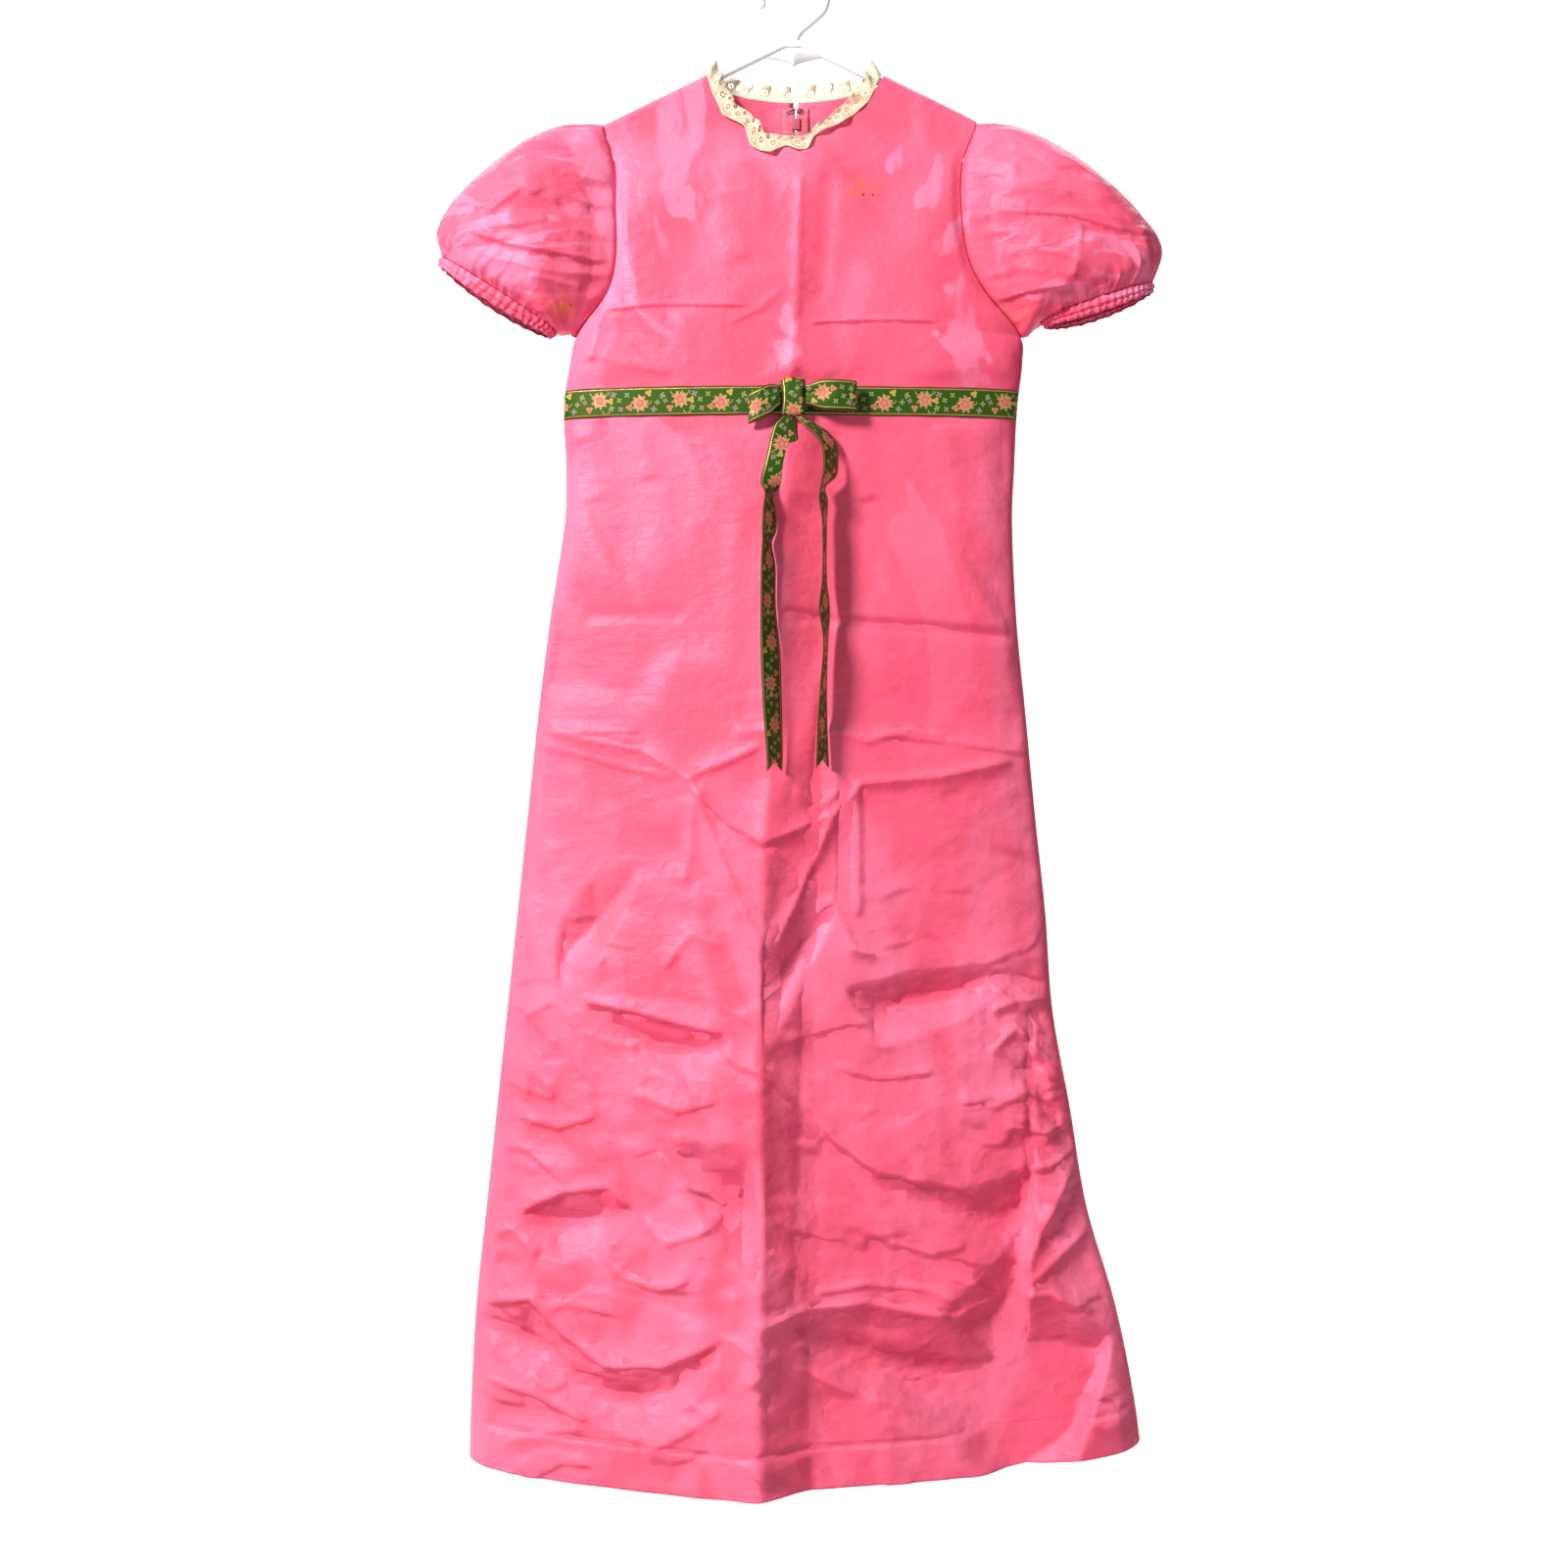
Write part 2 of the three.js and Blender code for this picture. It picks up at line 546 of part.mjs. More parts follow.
function lace() {
  const lift = SEAM + 0.6;
  const overFront = 9;
  const perWave = 4;
  const height = 2.2;
  const samples = evenly(neckEdge(), LACE_WAVES * perWave);
  const rows = [0, 0.5, 1];
  return rows.map((row) => samples.map(({ p }, k) => {
    const below = NECK_POINT_Z - p.z;
    const front = p.y < 0 ? smooth((below - 10) / 35) : 0;
    const side = Math.abs(p.x) / NECK_POINT;
    const rolled = smooth(1 - Math.abs(p.y) / ROLL_DEPTH);
    const up = new THREE.Vector3(-Math.sign(p.x) * 0.7 * side ** 2, front > 0 ? -0.15 : 0.1, 1).normalize();
    const facing = new THREE.Vector3(0, p.y < 0 ? -1 : 1, 0);
    facing.lerp(new THREE.Vector3(0, 0, 1), rolled).normalize();
    const wave = Math.sin((k / perWave) * 2 * Math.PI + 0.6);
    const low = -overFront * front;
    const w = lerp(low, low + LACE_WIDTH, row);
    const wavy = w < 0
      ? Math.abs(w / overFront) * (0.5 + 0.5 * wave)
      : (wave * Math.max(0, w - 3)) / (LACE_WIDTH - 6);
    const flare = rolled > 0 ? Math.abs(wavy) : wavy;
    const aside = new THREE.Vector3(-Math.sign(p.x) * side, 0, 0).multiplyScalar(0.5 * SEAM);
    const at = p.clone().add(aside).addScaledVector(up, w).addScaledVector(facing, lift + height * flare);
    const overCloth = bodyPoint(FRONT, at.x, at.z).y - 4 * SEAM - height * Math.max(0, flare);
    if (front > 0 && w < 2) at.y = Math.min(at.y, overCloth);
    return at;
  }));
}

piece('neck_lace', wall(lace(), 1), cottonLace);

// Ribbon over the high waist seam: it lies on the panels' own facets
function ribbonBand(face, columns, half) {
  const above = bodice(face, columns, half).slice(-2);
  const below = skirt(face, columns, half).slice(0, 2);
  const onto = (pair, z) => pair[0].map((p, i) => {
    const q = pair[1][i];
    return p.clone().lerp(q, (z - p.z) / (q.z - p.z));
  });
  const rows = [onto(above, WAIST_Z + RIBBON_WIDTH / 2), above[1], onto(below, WAIST_Z - RIBBON_WIDTH / 2)];
  const tidy = onlyOutside(face);
  const lifted = raised(rows, SEAM + 0.15).map((row) => row.map(tidy));
  return between(raised(rows, SEAM + 0.15 + RIBBON).map((row) => row.map(tidy)), lifted);
}

piece('ribbon_front', ribbonBand(FRONT, frontColumns, 0), woven);
for (const half of [-1, 1]) {
  piece(`ribbon_back_${sideOf(half)}`, ribbonBand(BACK, backColumns(half), half), woven);
}

// The bow, tied of the same ribbon in front of the band
const frontOf = (x, z) => Math.min(...[-14, -7, 0, 7, 14].map((dx) => bodyPoint(FRONT, x + dx, z).y));
const KNOT = { x: -1, z: -425.5, halfWidth: 11, halfDepth: 6, halfHeight: 18, power: 3 };
const KNOT_Y = frontOf(KNOT.x, KNOT.z) - SEAM - RIBBON - 3 * SEAM - KNOT.halfDepth;

function roundedBlock({ x, z, halfWidth, halfDepth, halfHeight, power }, y) {
  const ball = new THREE.SphereGeometry(1, 14, 10);
  ball.deleteAttribute('normal');
  ball.deleteAttribute('uv');
  const geometry = mergeVertices(ball);
  const place = geometry.attributes.position;
  for (let i = 0; i < place.count; i += 1) {
    const v = new THREE.Vector3().fromBufferAttribute(place, i);
    const size = (Math.abs(v.x) ** power + Math.abs(v.y) ** power + Math.abs(v.z) ** power) ** (-1 / power);
    place.setXYZ(i, x + v.x * size * halfWidth, y + v.y * size * halfDepth, z + v.z * size * halfHeight);
  }
  geometry.computeVertexNormals();
  return geometry;
}

// A loop is a flattened ring of ribbon that leaves the knot at one end
const LOOPS = [
  { name: 'bow_loop_left', side: 1, length: 49, width: 28, open: 6.5, tilt: 0.03 },
  { name: 'bow_loop_right', side: -1, length: 34, width: 28, open: 6, tilt: 0.42 },
];

function bowLoop({ side, length, width, open, tilt }) {
  const points = 18;
  const root = KNOT.x + side * (KNOT.halfWidth + 2 * SEAM);
  return [-1, -0.33, 0.33, 1].map((across) => Array.from({ length: points }, (_, k) => {
    const angle = (2 * Math.PI * k) / points;
    const out = (1 - Math.cos(angle)) / 2;
    const pinch = lerp(0.62, 1, smooth(out * 2));
    const along = out * length;
    const z = KNOT.z + 2 - along * Math.sin(tilt) + (across * width * pinch) / 2;
    const y = KNOT_Y - 1 + Math.sin(angle) * open * lerp(0.55, 1, smooth(out * 1.4));
    return new THREE.Vector3(root + side * along * Math.cos(tilt), y, z);
  }));
}

// A tail hangs from the knot. "turn" is how far, in degrees, it has twisted away from lying flat, "width" is
// its share of the ribbon's width where the knot gathers it, and "atKnot" is how near it is to the knot's
// own depth.
const TAILS = {
  bow_tail_right: [
    { z: -443.9, x: -5.5, turn: 12, width: 0.34, atKnot: 1 },
    { z: -452, x: -8, turn: 16, width: 0.75, atKnot: 0.5 },
    { z: -470, x: -10, turn: 10, width: 1, atKnot: 0 },
    { z: -492, x: -15, turn: 14, width: 1, atKnot: 0 },
    { z: -508, x: -20, turn: 35, width: 1, atKnot: 0 },
    { z: -519, x: -23, turn: 72, width: 1, atKnot: 0 },
    { z: -535, x: -23, turn: 66, width: 1, atKnot: 0 },
    { z: -552, x: -23, turn: 62, width: 1, atKnot: 0 },
    { z: -565, x: -25, turn: 72, width: 1, atKnot: 0 },
    { z: -586, x: -24, turn: 62, width: 1, atKnot: 0 },
    { z: -626, x: -24, turn: 60, width: 1, atKnot: 0 },
    { z: -668, x: -22, turn: 50, width: 1, atKnot: 0 },
    { z: -724, x: -20, turn: 52, width: 1, atKnot: 0 },
    { z: -764, x: -18, turn: 58, width: 1, atKnot: 0 },
    { z: -781, x: -18, turn: 60, width: 1, atKnot: 0 },
  ],
  bow_tail_left: [
    { z: -443.9, x: 5, turn: 12, width: 0.3, atKnot: 1 },
    { z: -449, x: 12, turn: 25, width: 0.5, atKnot: 0.7 },
    { z: -457, x: 23, turn: 40, width: 0.8, atKnot: 0.3 },
    { z: -470, x: 33, turn: 52, width: 1, atKnot: 0 },
    { z: -484, x: 35, turn: 58, width: 1, atKnot: 0 },
    { z: -500, x: 34, turn: 62, width: 1, atKnot: 0 },
    { z: -511, x: 28, turn: 80, width: 1, atKnot: 0 },
    { z: -524, x: 28, turn: 72, width: 1, atKnot: 0 },
    { z: -545, x: 29, turn: 80, width: 1, atKnot: 0 },
    { z: -600, x: 29, turn: 80, width: 1, atKnot: 0 },
    { z: -627, x: 29, turn: 68, width: 1, atKnot: 0 },
    { z: -660, x: 30, turn: 80, width: 1, atKnot: 0 },
    { z: -702, x: 28, turn: 76, width: 1, atKnot: 0 },
    { z: -738, x: 27, turn: 70, width: 1, atKnot: 0 },
    { z: -778, x: 27, turn: 64, width: 1, atKnot: 0 },
  ],
};

function bowTail(rows) {
  const clear = 2.4;
  const cupped = 0.8;
  return rows.map(({ z, x, turn, width, atKnot }) => {
    const angle = THREE.MathUtils.degToRad(turn);
    const half = (width * RIBBON_WIDTH) / 2;
    const hanging = frontOf(x, z) - clear - half * Math.sin(angle);
    const y = lerp(hanging, KNOT_Y, atKnot);
    return [-1, 0, 1].map((across) => new THREE.Vector3(
      x + across * half * Math.cos(angle),
      y + across * half * Math.sin(angle) - (across ? 0 : cupped),
      z,
    ));
  });
}

piece('bow_knot', roundedBlock(KNOT, KNOT_Y), woven);
for (const loop of LOOPS) piece(loop.name, wall(bowLoop(loop), RIBBON, { ring: true }), woven);
for (const [name, rows] of Object.entries(TAILS)) piece(name, wall(bowTail(rows), RIBBON), woven);

// Solids joined or cut with manifold-3d
function solid(geometry) {
  const bare = geometry.clone();
  bare.deleteAttribute('normal');
  bare.deleteAttribute('uv');
  const merged = mergeVertices(bare);
  const vertProperties = merged.attributes.position.array;
  const triVerts = Uint32Array.from(merged.index.array);
  return new wasm.Manifold(new wasm.Mesh({ numProp: 3, vertProperties, triVerts }));
}

function joined(geometries) {
  const whole = geometries.map(solid).reduce((sum, next) => sum.add(next));
  const { vertProperties, triVerts } = whole.getMesh();
  const geometry = new THREE.BufferGeometry();
  geometry.setAttribute('position', new THREE.Float32BufferAttribute(vertProperties, 3));
  geometry.setIndex(Array.from(triVerts));
  geometry.computeVertexNormals();
  return geometry;
}

const block = (width, depth, height, x, y, z) => {
  const box = new THREE.BoxGeometry(width, depth, height);
  return box.translate(x, y, z);
};

function rod(points, radius, sides, steps) {
  const outline = new THREE.Shape();
  for (let i = 0; i < sides; i += 1) {
    const angle = (2 * Math.PI * i) / sides;
    outline[i ? 'lineTo' : 'moveTo'](radius * Math.cos(angle), radius * Math.sin(angle));
  }
  const path = new THREE.CatmullRomCurve3(points.map(([x, y, z]) => new THREE.Vector3(x, y, z)));
  const along = { steps, extrudePath: path, bevelEnabled: false, curveSegments: 1 };
  return new THREE.ExtrudeGeometry(outline, along);
}

// The zip at the centre back, from the neckline down
const ZIP_TOP_Z = BACK_NECK_Z - 5;
const SLIDER_Z = -149;
const backSurface = (x, z) => bodyPoint(BACK, x, z).y;
const zipRows = (from, to, count) => range(count).map((t) => lerp(from, to, t));

function zipStrip(x1, x2, from, to, count, behind) {
  return zipRows(from, to, count).map((z) => [x1, x2].map((x) => (
    new THREE.Vector3(CENTRE_BACK + x, backSurface(CENTRE_BACK + x, z) - behind, z)
  )));
}

const TAPE_BEHIND = CLOTH + 2 * SEAM;
for (const half of [-1, 1]) {
  const strip = zipStrip(half * 1.4, half * 13, ZIP_TOP_Z, ZIP_END_Z - 8, 14, TAPE_BEHIND);
  piece(`zip_tape_${sideOf(half)}`, wall(strip, 1), tape);
}
piece('zip_chain', wall(zipStrip(-1.65, 1.65, SLIDER_Z - 7, ZIP_END_Z + 2.5, 14, 0.1), 1.2), nickel);

// The slider and the pull tab lie along the back's slope
const slopeDrop = 12;
const backAt = (z) => backSurface(CENTRE_BACK, z);
const slope = Math.atan2(backAt(SLIDER_Z - slopeDrop) - backAt(SLIDER_Z), slopeDrop);
const sliderPlace = new THREE.Group();
sliderPlace.position.set(CENTRE_BACK, backSurface(CENTRE_BACK, SLIDER_Z), SLIDER_Z);
sliderPlace.rotation.x = slope;
dress.add(sliderPlace);

const PLATE = { width: 8, height: 11, thickness: 1.2, out: 0.5, inner: -4.7 };
const LUG = { width: 1, height: 4, reach: 3.6, apart: 6.4, z: 2.5 };
const TAB = { width: 4.4, length: 24, thickness: 1.2, pin: 0.7, gap: 0.35 };
const PIN_Y = PLATE.out + PLATE.thickness + 1.9;
const slider = joined([
  block(PLATE.width, PLATE.thickness, PLATE.height, 0, PLATE.out + PLATE.thickness / 2, 0),
  block(PLATE.width, PLATE.thickness, PLATE.height, 0, PLATE.inner + PLATE.thickness / 2, 0),
  block(1.8, PLATE.out - PLATE.inner, 2.4, 0, (PLATE.out + PLATE.inner) / 2 + 0.3, PLATE.height / 2 - 1.2),
  ...[-1, 1].map((side) => block(LUG.width, LUG.reach, LUG.height, (side * LUG.apart) / 2,
    PLATE.out + PLATE.thickness + LUG.reach / 2 - 0.1, LUG.z)),
]);
const sliderMesh = piece('zip_slider', slider, nickel);
sliderPlace.add(sliderMesh);

const pinLength = LUG.apart - LUG.width - 2 * TAB.gap;
const tab = joined([
  new THREE.CylinderGeometry(TAB.pin, TAB.pin, pinLength, 12).rotateZ(Math.PI / 2).translate(0, PIN_Y, LUG.z),
  block(TAB.width, TAB.thickness, TAB.length, 0, PIN_Y, LUG.z - TAB.length / 2 - 0.2),
]);
const tabMesh = piece('zip_pull', tab, nickel);
sliderPlace.add(tabMesh);

// Hook and eye above the zip, on the inside
const hookY = backSurface(CENTRE_BACK, ZIP_TOP_Z - 2) - TAPE_BEHIND - 2.4;
const wire = 0.5;
const hookPath = [[-8, hookY, -139], [-3, hookY, -138], [2, hookY, -136.5]];
hookPath.push([1, hookY - 2, -136.5], [-3, hookY - 2, -137.5]);
piece('neck_hook', rod(hookPath, wire, 6, 14), darkMetal);
const eyePath = [[9, hookY, -138.5], [5, hookY, -139.3], [3.6, hookY - 0.4, -137.6]];
eyePath.push([5, hookY, -135.6], [9, hookY, -136.2]);
piece('neck_eye', rod(eyePath, wire, 6, 14), darkMetal);

// The hanger: two sloping arms, a web under the apex and the hook over the rod
const HOOK_RADIUS = 32;
const ARM_REACH = 198;
const HOOK_MIDDLE_Z = -(HOOK_RADIUS - TUBE);
const armZ = (x) => shoulderLine(x) - (TUBE + SEAM + CLOTH + 0.8) * Math.hypot(1, SHOULDER_FALL);
const apexZ = armZ(0) - 5;
const armPoints = [-1, -0.8, -0.6, -0.4, -0.22, -0.1].map((t) => [t * ARM_REACH, 0, armZ(t * ARM_REACH)]);
const otherArm = armPoints.map(([x, y, z]) => [-x, y, z]).reverse();
const arms = rod([...armPoints, [0, 0, apexZ], ...otherArm], TUBE, 10, 28);
const hookArc = [];
for (let degrees = 196; degrees >= -40; degrees -= 20) {
  const angle = THREE.MathUtils.degToRad(degrees);
  hookArc.push([HOOK_RADIUS * Math.cos(angle), 0, HOOK_MIDDLE_Z + HOOK_RADIUS * Math.sin(angle)]);
}
const hook = rod([...hookArc, [11, 0, -58], [2, 0, -66], [0, 0, apexZ - 1]], TUBE, 10, 26);
const web = new THREE.Shape();
const WEB_THICKNESS = 5;
web.moveTo(-34, armZ(34));
web.quadraticCurveTo(-14, armZ(0) - 16, 0, armZ(0) - 26);
web.quadraticCurveTo(14, armZ(0) - 16, 34, armZ(34));
web.lineTo(0, apexZ);
const webForm = { depth: WEB_THICKNESS, bevelEnabled: false, curveSegments: 6 };
const webSolid = new THREE.ExtrudeGeometry(web, webForm)
  .rotateX(Math.PI / 2)
  .translate(0, WEB_THICKNESS / 2, 0);
piece('hanger', joined([arms, hook, webSolid]), plastic);

export default dress;
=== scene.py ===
import math

import bpy
import numpy as np
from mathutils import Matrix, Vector


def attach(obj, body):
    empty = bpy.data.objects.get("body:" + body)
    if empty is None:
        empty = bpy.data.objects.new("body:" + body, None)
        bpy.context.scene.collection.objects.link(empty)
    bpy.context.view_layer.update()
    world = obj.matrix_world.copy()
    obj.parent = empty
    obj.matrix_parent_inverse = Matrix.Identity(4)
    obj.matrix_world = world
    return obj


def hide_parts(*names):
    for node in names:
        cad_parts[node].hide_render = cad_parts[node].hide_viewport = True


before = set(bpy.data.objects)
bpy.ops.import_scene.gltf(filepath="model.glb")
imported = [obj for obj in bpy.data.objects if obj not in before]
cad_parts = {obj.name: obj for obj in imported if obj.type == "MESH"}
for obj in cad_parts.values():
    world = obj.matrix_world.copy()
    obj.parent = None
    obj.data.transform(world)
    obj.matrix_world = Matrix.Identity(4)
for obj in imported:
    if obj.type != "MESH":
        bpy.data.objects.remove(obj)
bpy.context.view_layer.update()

MM = 0.001
CLOTH = 0.8 * MM
SEAM = 0.3 * MM
WAIST_Z = -427 * MM
NECK_POINT = 85 * MM
NECK_POINT_Z = -105 * MM
SHOULDER_FALL = 0.488
SHOULDER_TIP_Z = -153 * MM
UNDERARM_Z = -360 * MM
FULL_DROP = 120 * MM
ROLL_DEPTH = 6.2 * MM
ROLL_DROP = ROLL_DEPTH * math.hypot(1, SHOULDER_FALL)
SECTION_POWER = 2.6
NECK_SHARE = 0.6
CENTRE_BACK = 2 * MM
ZIP_END_Z = -600 * MM
ZIP_SLOT = 4 * MM
HEM_DEPTH = 43 * MM
RIBBON_WIDTH = 28 * MM
# How far the hem's stitches lie below the turned-up edge
HEM_STITCH_DROP = 2.5 * MM
FRONT, BACK = -1, 1


def table(columns, rows):
    """Rows of millimetres under named columns, as one array of metres for each column."""
    names = columns.split()
    return {name: np.array([row[i] for row in rows], float) * MM for i, name in enumerate(names)}


# The sections of the body, from the shoulder down: side edges, depths and the pressed centre fold
BODY = table("z right left front back fold foldX", [
    (-105, -184, 181, 14, 12, 0, 8),
    (-153, -184, 177, 16, 14, 1, 8),
    (-193, -173, 163, 20, 16, 2, 7),
    (-241, -171, 161, 24, 18, 3, 5),
    (-288, -171, 168, 27, 20, 4, 3),
    (-320, -180, 185, 28, 21, 5, 1),
    (-360, -211, 220, 28, 22, 6, 0),
    (-384, -217, 222, 28, 22, 7, -1),
    (-427, -223, 217, 28, 22, 9, -3),
    (-488, -221, 214, 28, 23, 13, -6),
    (-536, -222, 212, 28, 24, 16, -8),
    (-631, -236, 216, 29, 26, 22, -12),
    (-726, -248, 225, 30, 28, 28, -19),
    (-822, -258, 234, 31, 29, 34, -25),
    (-917, -268, 244, 32, 30, 40, -30),
    (-1012, -278, 251, 33, 31, 45, -31),
    (-1107, -288, 268, 34, 32, 50, -32),
    (-1202, -298, 284, 35, 33, 54, -32),
    (-1298, -308, 312, 36, 34, 58, -32),
    (-1393, -313, 331, 36, 35, 60, -32),
    (-1470, -315, 340, 36, 36, 60, -32),
])
ARMHOLE = {
    "z": np.array([-100, -200, -260, -310, -340, -352, -360]) * MM,
    "apart": np.array([1, 0.95, 0.88, 0.66, 0.36, 0.16, 0]),
}
FRONT_NECKLINE = table("x z", [
    (-85, -105), (-80, -120), (-67, -139), (-46, -157), (-22, -173), (4, -179),
    (24, -167), (44, -151), (63, -136), (77, -121), (85, -105),
])
HEM_EDGE = {
    "at": np.array([-1, -0.5, -0.1, 0.3, 0.7, 1]),
    "z": np.array([-1443, -1452, -1458, -1452, -1438, -1427]) * MM,
}


def follow(rows, column, key, v):
    """A smooth curve through a table's rows, read at v."""
    at, value = rows[column], rows[key]
    if at[-1] < at[0]:
        at, value = at[::-1], value[::-1]
    v = np.clip(v, at[0], at[-1])
    i = np.clip(np.searchsorted(at, v, side="right") - 1, 0, len(at) - 2)
    before, after = np.maximum(i - 1, 0), np.minimum(i + 2, len(at) - 1)
    span = at[i + 1] - at[i]
    t = (v - at[i]) / span
    slope_a = (value[i + 1] - value[before]) / (at[i + 1] - at[before]) * span
    slope_b = (value[after] - value[i]) / (at[after] - at[i]) * span
    t2, t3 = t * t, t * t * t
    return ((2 * t3 - 3 * t2 + 1) * value[i] + (t3 - 2 * t2 + t) * slope_a
            + (3 * t2 - 2 * t3) * value[i + 1] + (t3 - t2) * slope_b)


def smooth(t):
    t = np.clip(t, 0, 1)
    return t * t * (3 - 2 * t)


def lerp(a, b, t):
    return a + (b - a) * t


def side_name(half):
    return "right" if half < 0 else "left"


def span_of(half):
    """The column shares that a whole panel or one of its halves runs between."""
    return {0: (-1, 1), -1: (-1, 0), 1: (0, 1)}[half]


# Noise of fixed seed, for the cloth's fine unevenness. It repeats after this many steps each way.
PERIOD = 64
_grid_rng = np.random.default_rng(7)
_GRADIENTS = _grid_rng.normal(size=(PERIOD, PERIOD, 2))
_GRADIENTS /= np.linalg.norm(_GRADIENTS, axis=2, keepdims=True)
# Where each facet's middle lies in its cell, then its two slopes and its height
_JITTER = np.concatenate([_grid_rng.uniform(0, 1, (PERIOD, PERIOD, 2)),
                          _grid_rng.uniform(-1, 1, (PERIOD, PERIOD, 3))], axis=2)


def noise(u, v):
    """Gradient noise from about -1 to 1."""
    iu, iv = np.floor(u).astype(int), np.floor(v).astype(int)
    fu, fv = u - iu, v - iv
    total = 0
    for du in (0, 1):
        for dv in (0, 1):
            g = _GRADIENTS[(iu + du) % PERIOD, (iv + dv) % PERIOD]
            weight = (fade(fu) if du else 1 - fade(fu)) * (fade(fv) if dv else 1 - fade(fv))
            total = total + weight * (g[..., 0] * (fu - du) + g[..., 1] * (fv - dv))
    return total * 1.5


def fade(t):
    return t * t * t * (t * (6 * t - 15) + 10)


def crisp(u, v):
    """Thin raised lines between flat facets, as in crushed taffeta."""
    return 1 - np.minimum(1, np.abs(noise(u, v)) * 2.2)


# ---- the body's surface ----

def section(z):
    right = follow(BODY, "z", "right", z)
    left = follow(BODY, "z", "left", z)
    return right, left, (left + right) / 2, (left - right) / 2


def shoulder_line(x):
    return NECK_POINT_Z + (NECK_POINT - np.abs(x)) * SHOULDER_FALL


def pressed_fold(x, z):
    right, left, _, _ = section(z)
    fold_x = follow(BODY, "z", "foldX", z)
    rise = follow(BODY, "z", "fold", z)
    steep_share = 0.45
    near = np.maximum(0, 1 - (x - fold_x) / (48 * MM))
    up = (x - right) / (fold_x - right)
    down = steep_share * near + (1 - steep_share) * (left - x) / (left - fold_x)
    return rise * np.where(x < fold_x, up, down)


def body_depth(face, x, z):
    _, _, middle, half = section(z)
    s = np.clip(np.abs(x - middle) / half, 0, 1)
    drop = np.maximum(0, shoulder_line(x) - z)
    roll = np.sqrt(1 - (1 - np.minimum(drop / ROLL_DROP, 1)) ** 2)
    full = follow(BODY, "z", "front" if face < 0 else "back", z)
    apart = np.where(z > UNDERARM_Z, follow(ARMHOLE, "z", "apart", z), 0)
    shape = (1 - s ** SECTION_POWER) ** (1 / SECTION_POWER)
    depth = roll * lerp(ROLL_DEPTH, full, smooth(drop / FULL_DROP)) * lerp(shape, 1, apart)
    if face < 0:
        depth = depth + pressed_fold(x, z) * smooth(drop / FULL_DROP)
    return depth


def centre_x(face, z):
    return follow(BODY, "z", "foldX", z) if face < 0 else CENTRE_BACK + 0 * z


def column_x(face, q, z):
    _, _, middle, half = section(z)
    across = np.sin(q * math.pi / 2)
    return middle + half * across + (centre_x(face, z) - middle) * (1 - across * across)


def hem_edge(q):
    return follow(HEM_EDGE, "at", "z", q)


# ---- creases of the body, in millimetres over the front ----

